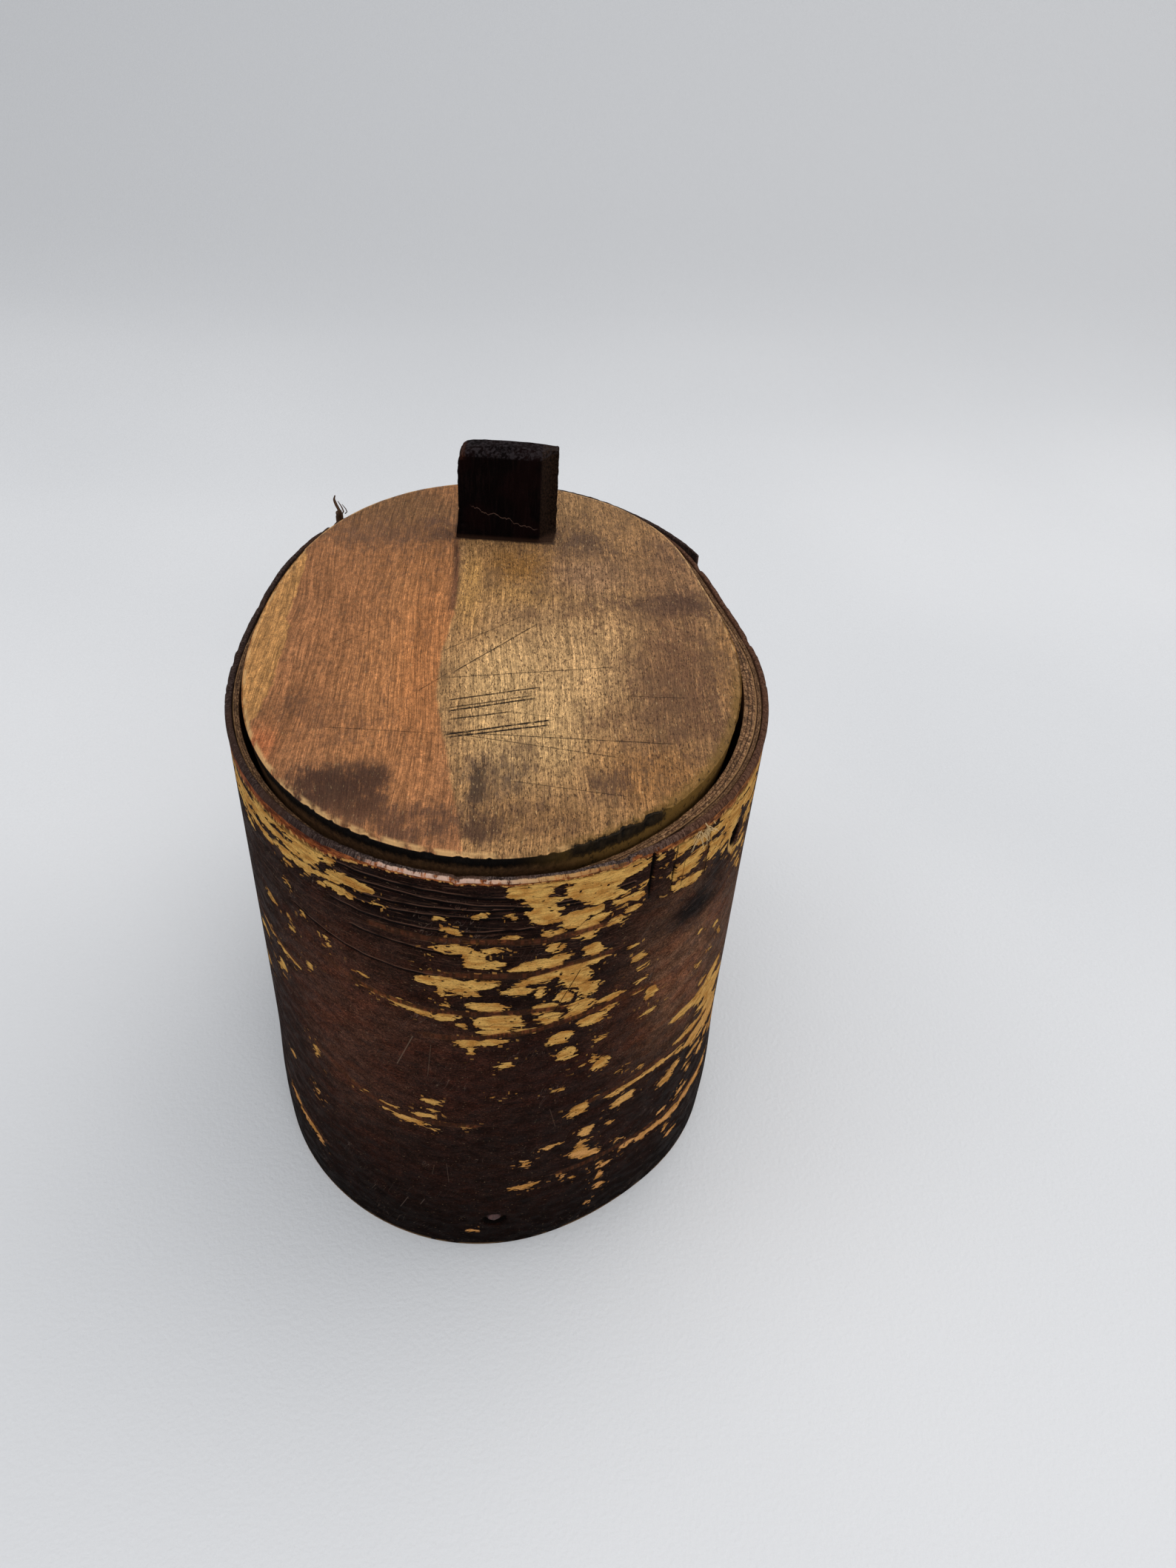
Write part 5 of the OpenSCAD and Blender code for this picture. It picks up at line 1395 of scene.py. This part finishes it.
finish_piece(make_sleeve(), "box", "outer_bark", bark_material(), "outer_sleeve")
finish_piece(make_lining(), "box", "lining_bark", lining_material(), "inner_lining")
frayed = strip_material("frayed_fibre", (190, 148, 92), (244, 214, 158))
finish_piece(make_tuft(), "box", "outer_bark", frayed)

peg_wood = plain_wood("peg_wood", (44, 26, 25), (92, 62, 58), 2, cells=1.6)
for peg_name, peg_angle in PEG_ANGLES.items():
    finish_piece(make_peg(peg_name, peg_angle), "box", "peg_wood", peg_wood, peg_name)

root_skin = strip_material("root", (46, 28, 16), (112, 74, 42))
finish_piece(make_root("root_right", RIGHT_ROW, False), "box", "root", root_skin, "seam_root_right")
finish_piece(make_root("root_left", LEFT_ROW, True), "box", "root", root_skin, "seam_root_left")
tail = wall_point(LEFT_ROW + 0.4, SLEEVE_T + SHEET_GAP, WALL_H + 0.5)
# The loose end's strands: name, offset of the start, bends, width, thickness and seed.
TAIL = [
    ("tail_head", (0, 0, 0), [(0.1, -0.2, 1.0), (-0.5, -0.1, 2.4), (-0.9, 0, 3.7), (-0.6, 0.1, 4.6)],
     0.9, 0.5, 141),
    ("tail_a", (0.5, 0, 0), [(0.5, 0, 0.7), (0.1, 0.1, 1.9), (-0.6, 0.1, 3.2)], 0.4, 0.3, 143),
    ("tail_b", (1.2, 0.3, 0), [(0.5, 0.1, 0.4), (0.2, 0.2, 1.2), (-0.5, 0.2, 2.2)], 0.3, 0.2, 145),
]
tail_pieces = [make_strand(name, tail + np.array(offset), *rest) for name, offset, *rest in TAIL]
finish_piece(joined("root_tail", tail_pieces), "box", "root", root_skin)

finish_piece(make_lid(), "lid", "lid_wood", lid_material(), "lid_board")
finish_piece(make_grip(), "lid", "grip_wood", grip_material(), "lid_grip")

board = NODES["bottom_board"]
board.data.materials.clear()
board.data.materials.append(plain_wood("bottom_wood", (98, 68, 44), (156, 116, 78), 1))

# ---- Stage, light and camera ----


# The floor and the backdrop that it curves up into, in metres; FLOOR_DROP, below the foot, is in mm.
FLOOR_HALF, FLOOR_FRONT, FLOOR_BACK, BACKDROP_R, BACKDROP_TOP = 6.0, -6.0, 0.5, 0.7, 2.4
CURVE_STEPS, FLOOR_COLUMNS, FLOOR_DROP = 16, 9, 0.02
# The cloth's colours, linear, and where in y, in mm, it fades to the darker far one.
CLOTH_GREYS = (0.67, 0.675, 0.69, 1), (0.72, 0.722, 0.735, 1)
FAR_CLOTH, FADE_FROM, FADE_TO = (0.545, 0.55, 0.565, 1), 180.0, 640.0

# Each lamp: name, place, the height over the foot's middle that it points at, size, power and colour.
LAMPS = [
    ("key", (0.7, 0.45, 1.2), 0.08, 1.3, 8.6, (1.0, 0.98, 0.95)),
    ("overhead", (-0.2, -0.15, 1.5), 0.08, 1.3, 7.2, (0.97, 0.99, 1.0)),
    ("left", (-1.25, 0.05, 0.8), 0.05, 1.0, 2, (0.98, 0.99, 1.0)),
    ("front", (0.35, -1.25, 0.75), 0.05, 1.0, 5.2, (0.98, 0.99, 1.0)),
]
# The light is the same all round. What the camera sees beyond the floor's end is the far floor's grey.
SKY_COLOUR, SKY_LIGHT, SKY_SEEN = (0.93, 0.96, 1.0, 1), 0.44, 0.33

# The camera, solved from the photo: its place in metres, its axes, and its lens from the focal length
# in pixels of a frame that is IMAGE_H pixels high.
CAMERA_AT = (0.0013, -0.1842, 0.2575)
CAMERA_RIGHT, CAMERA_DOWN = (0.9974, -0.0403, 0.0599), (0.0159, -0.6871, -0.7264)
CAMERA_AHEAD = (0.0704, 0.7254, -0.6847)
FOCAL_PX, IMAGE_H, SENSOR = 1530, 2117, 36.0
CLIP_NEAR, CLIP_FAR = 0.01, 20


def make_floor():
    """A pale floor that curves up into a backdrop."""
    profile = [(FLOOR_FRONT, 0.0), (FLOOR_BACK, 0.0)]
    for k in range(1, CURVE_STEPS + 1):
        b = math.radians(90 * k / CURVE_STEPS)
        profile.append((FLOOR_BACK + BACKDROP_R * math.sin(b), BACKDROP_R * (1 - math.cos(b))))
    profile.append((FLOOR_BACK + BACKDROP_R, BACKDROP_TOP))
    xs = np.linspace(-FLOOR_HALF, FLOOR_HALF, FLOOR_COLUMNS)
    pts = np.array([[(x / MM, y / MM, z / MM - FLOOR_DROP) for x in xs] for y, z in profile])
    floor = grid_object("floor", pts)
    g = Graph("floor_cloth")
    p = g.coord()
    weave = g.noise(p, 0.9, 0.9, 0.9, detail=2)
    soft = g.cells(p, 0.004, 0.004, 0.35, 0.65, z=0.004, detail=2, shift=3)
    colour = g.mix(soft, *CLOTH_GREYS)
    # The cloth lies in less light behind the box.
    colour = g.mix(g.step(g.split(p)[1], FADE_FROM, FADE_TO), colour, FAR_CLOTH)
    floor.data.materials.append(g.done(colour, 0.9, weave, 0.15, gloss=0.15))


def link_turned(obj, at, turn):
    """Puts a lamp or camera at a place with a rotation, in the scene."""
    obj.location, obj.rotation_mode, obj.rotation_quaternion = at, "QUATERNION", turn
    bpy.context.scene.collection.objects.link(obj)


def area_light(name, at, aim_z, size, energy, colour):
    data = bpy.data.lights.new(name, "AREA")
    data.shape, data.size, data.energy, data.color = "SQUARE", size, energy, colour
    ahead = Vector((0, 0, aim_z)) - Vector(at)
    link_turned(bpy.data.objects.new(name, data), at, ahead.to_track_quat("-Z", "Y"))


def make_sky():
    world = bpy.data.worlds.new("world")
    world.use_nodes = True
    nodes, links = world.node_tree.nodes, world.node_tree.links
    sky, level = nodes["Background"], nodes.new("ShaderNodeMapRange")
    sky.inputs["Color"].default_value = SKY_COLOUR
    level.inputs["To Min"].default_value, level.inputs["To Max"].default_value = SKY_LIGHT, SKY_SEEN
    links.new(nodes.new("ShaderNodeLightPath").outputs["Is Camera Ray"], level.inputs["Value"])
    links.new(level.outputs["Result"], sky.inputs["Strength"])
    bpy.context.scene.world = world


def make_camera():
    data = bpy.data.cameras.new("camera")
    data.sensor_width, data.lens = SENSOR, FOCAL_PX / IMAGE_H * SENSOR
    data.clip_start, data.clip_end = CLIP_NEAR, CLIP_FAR
    right, down, ahead = (Vector(v).normalized() for v in (CAMERA_RIGHT, CAMERA_DOWN, CAMERA_AHEAD))
    camera = bpy.data.objects.new("camera", data)
    link_turned(camera, CAMERA_AT, Matrix((right, -down, -ahead)).transposed().to_quaternion())
    bpy.context.scene.camera = camera


make_floor()
for lamp in LAMPS:
    area_light(*lamp)
make_sky()
make_camera()
bpy.context.scene.view_settings.view_transform = "Standard"
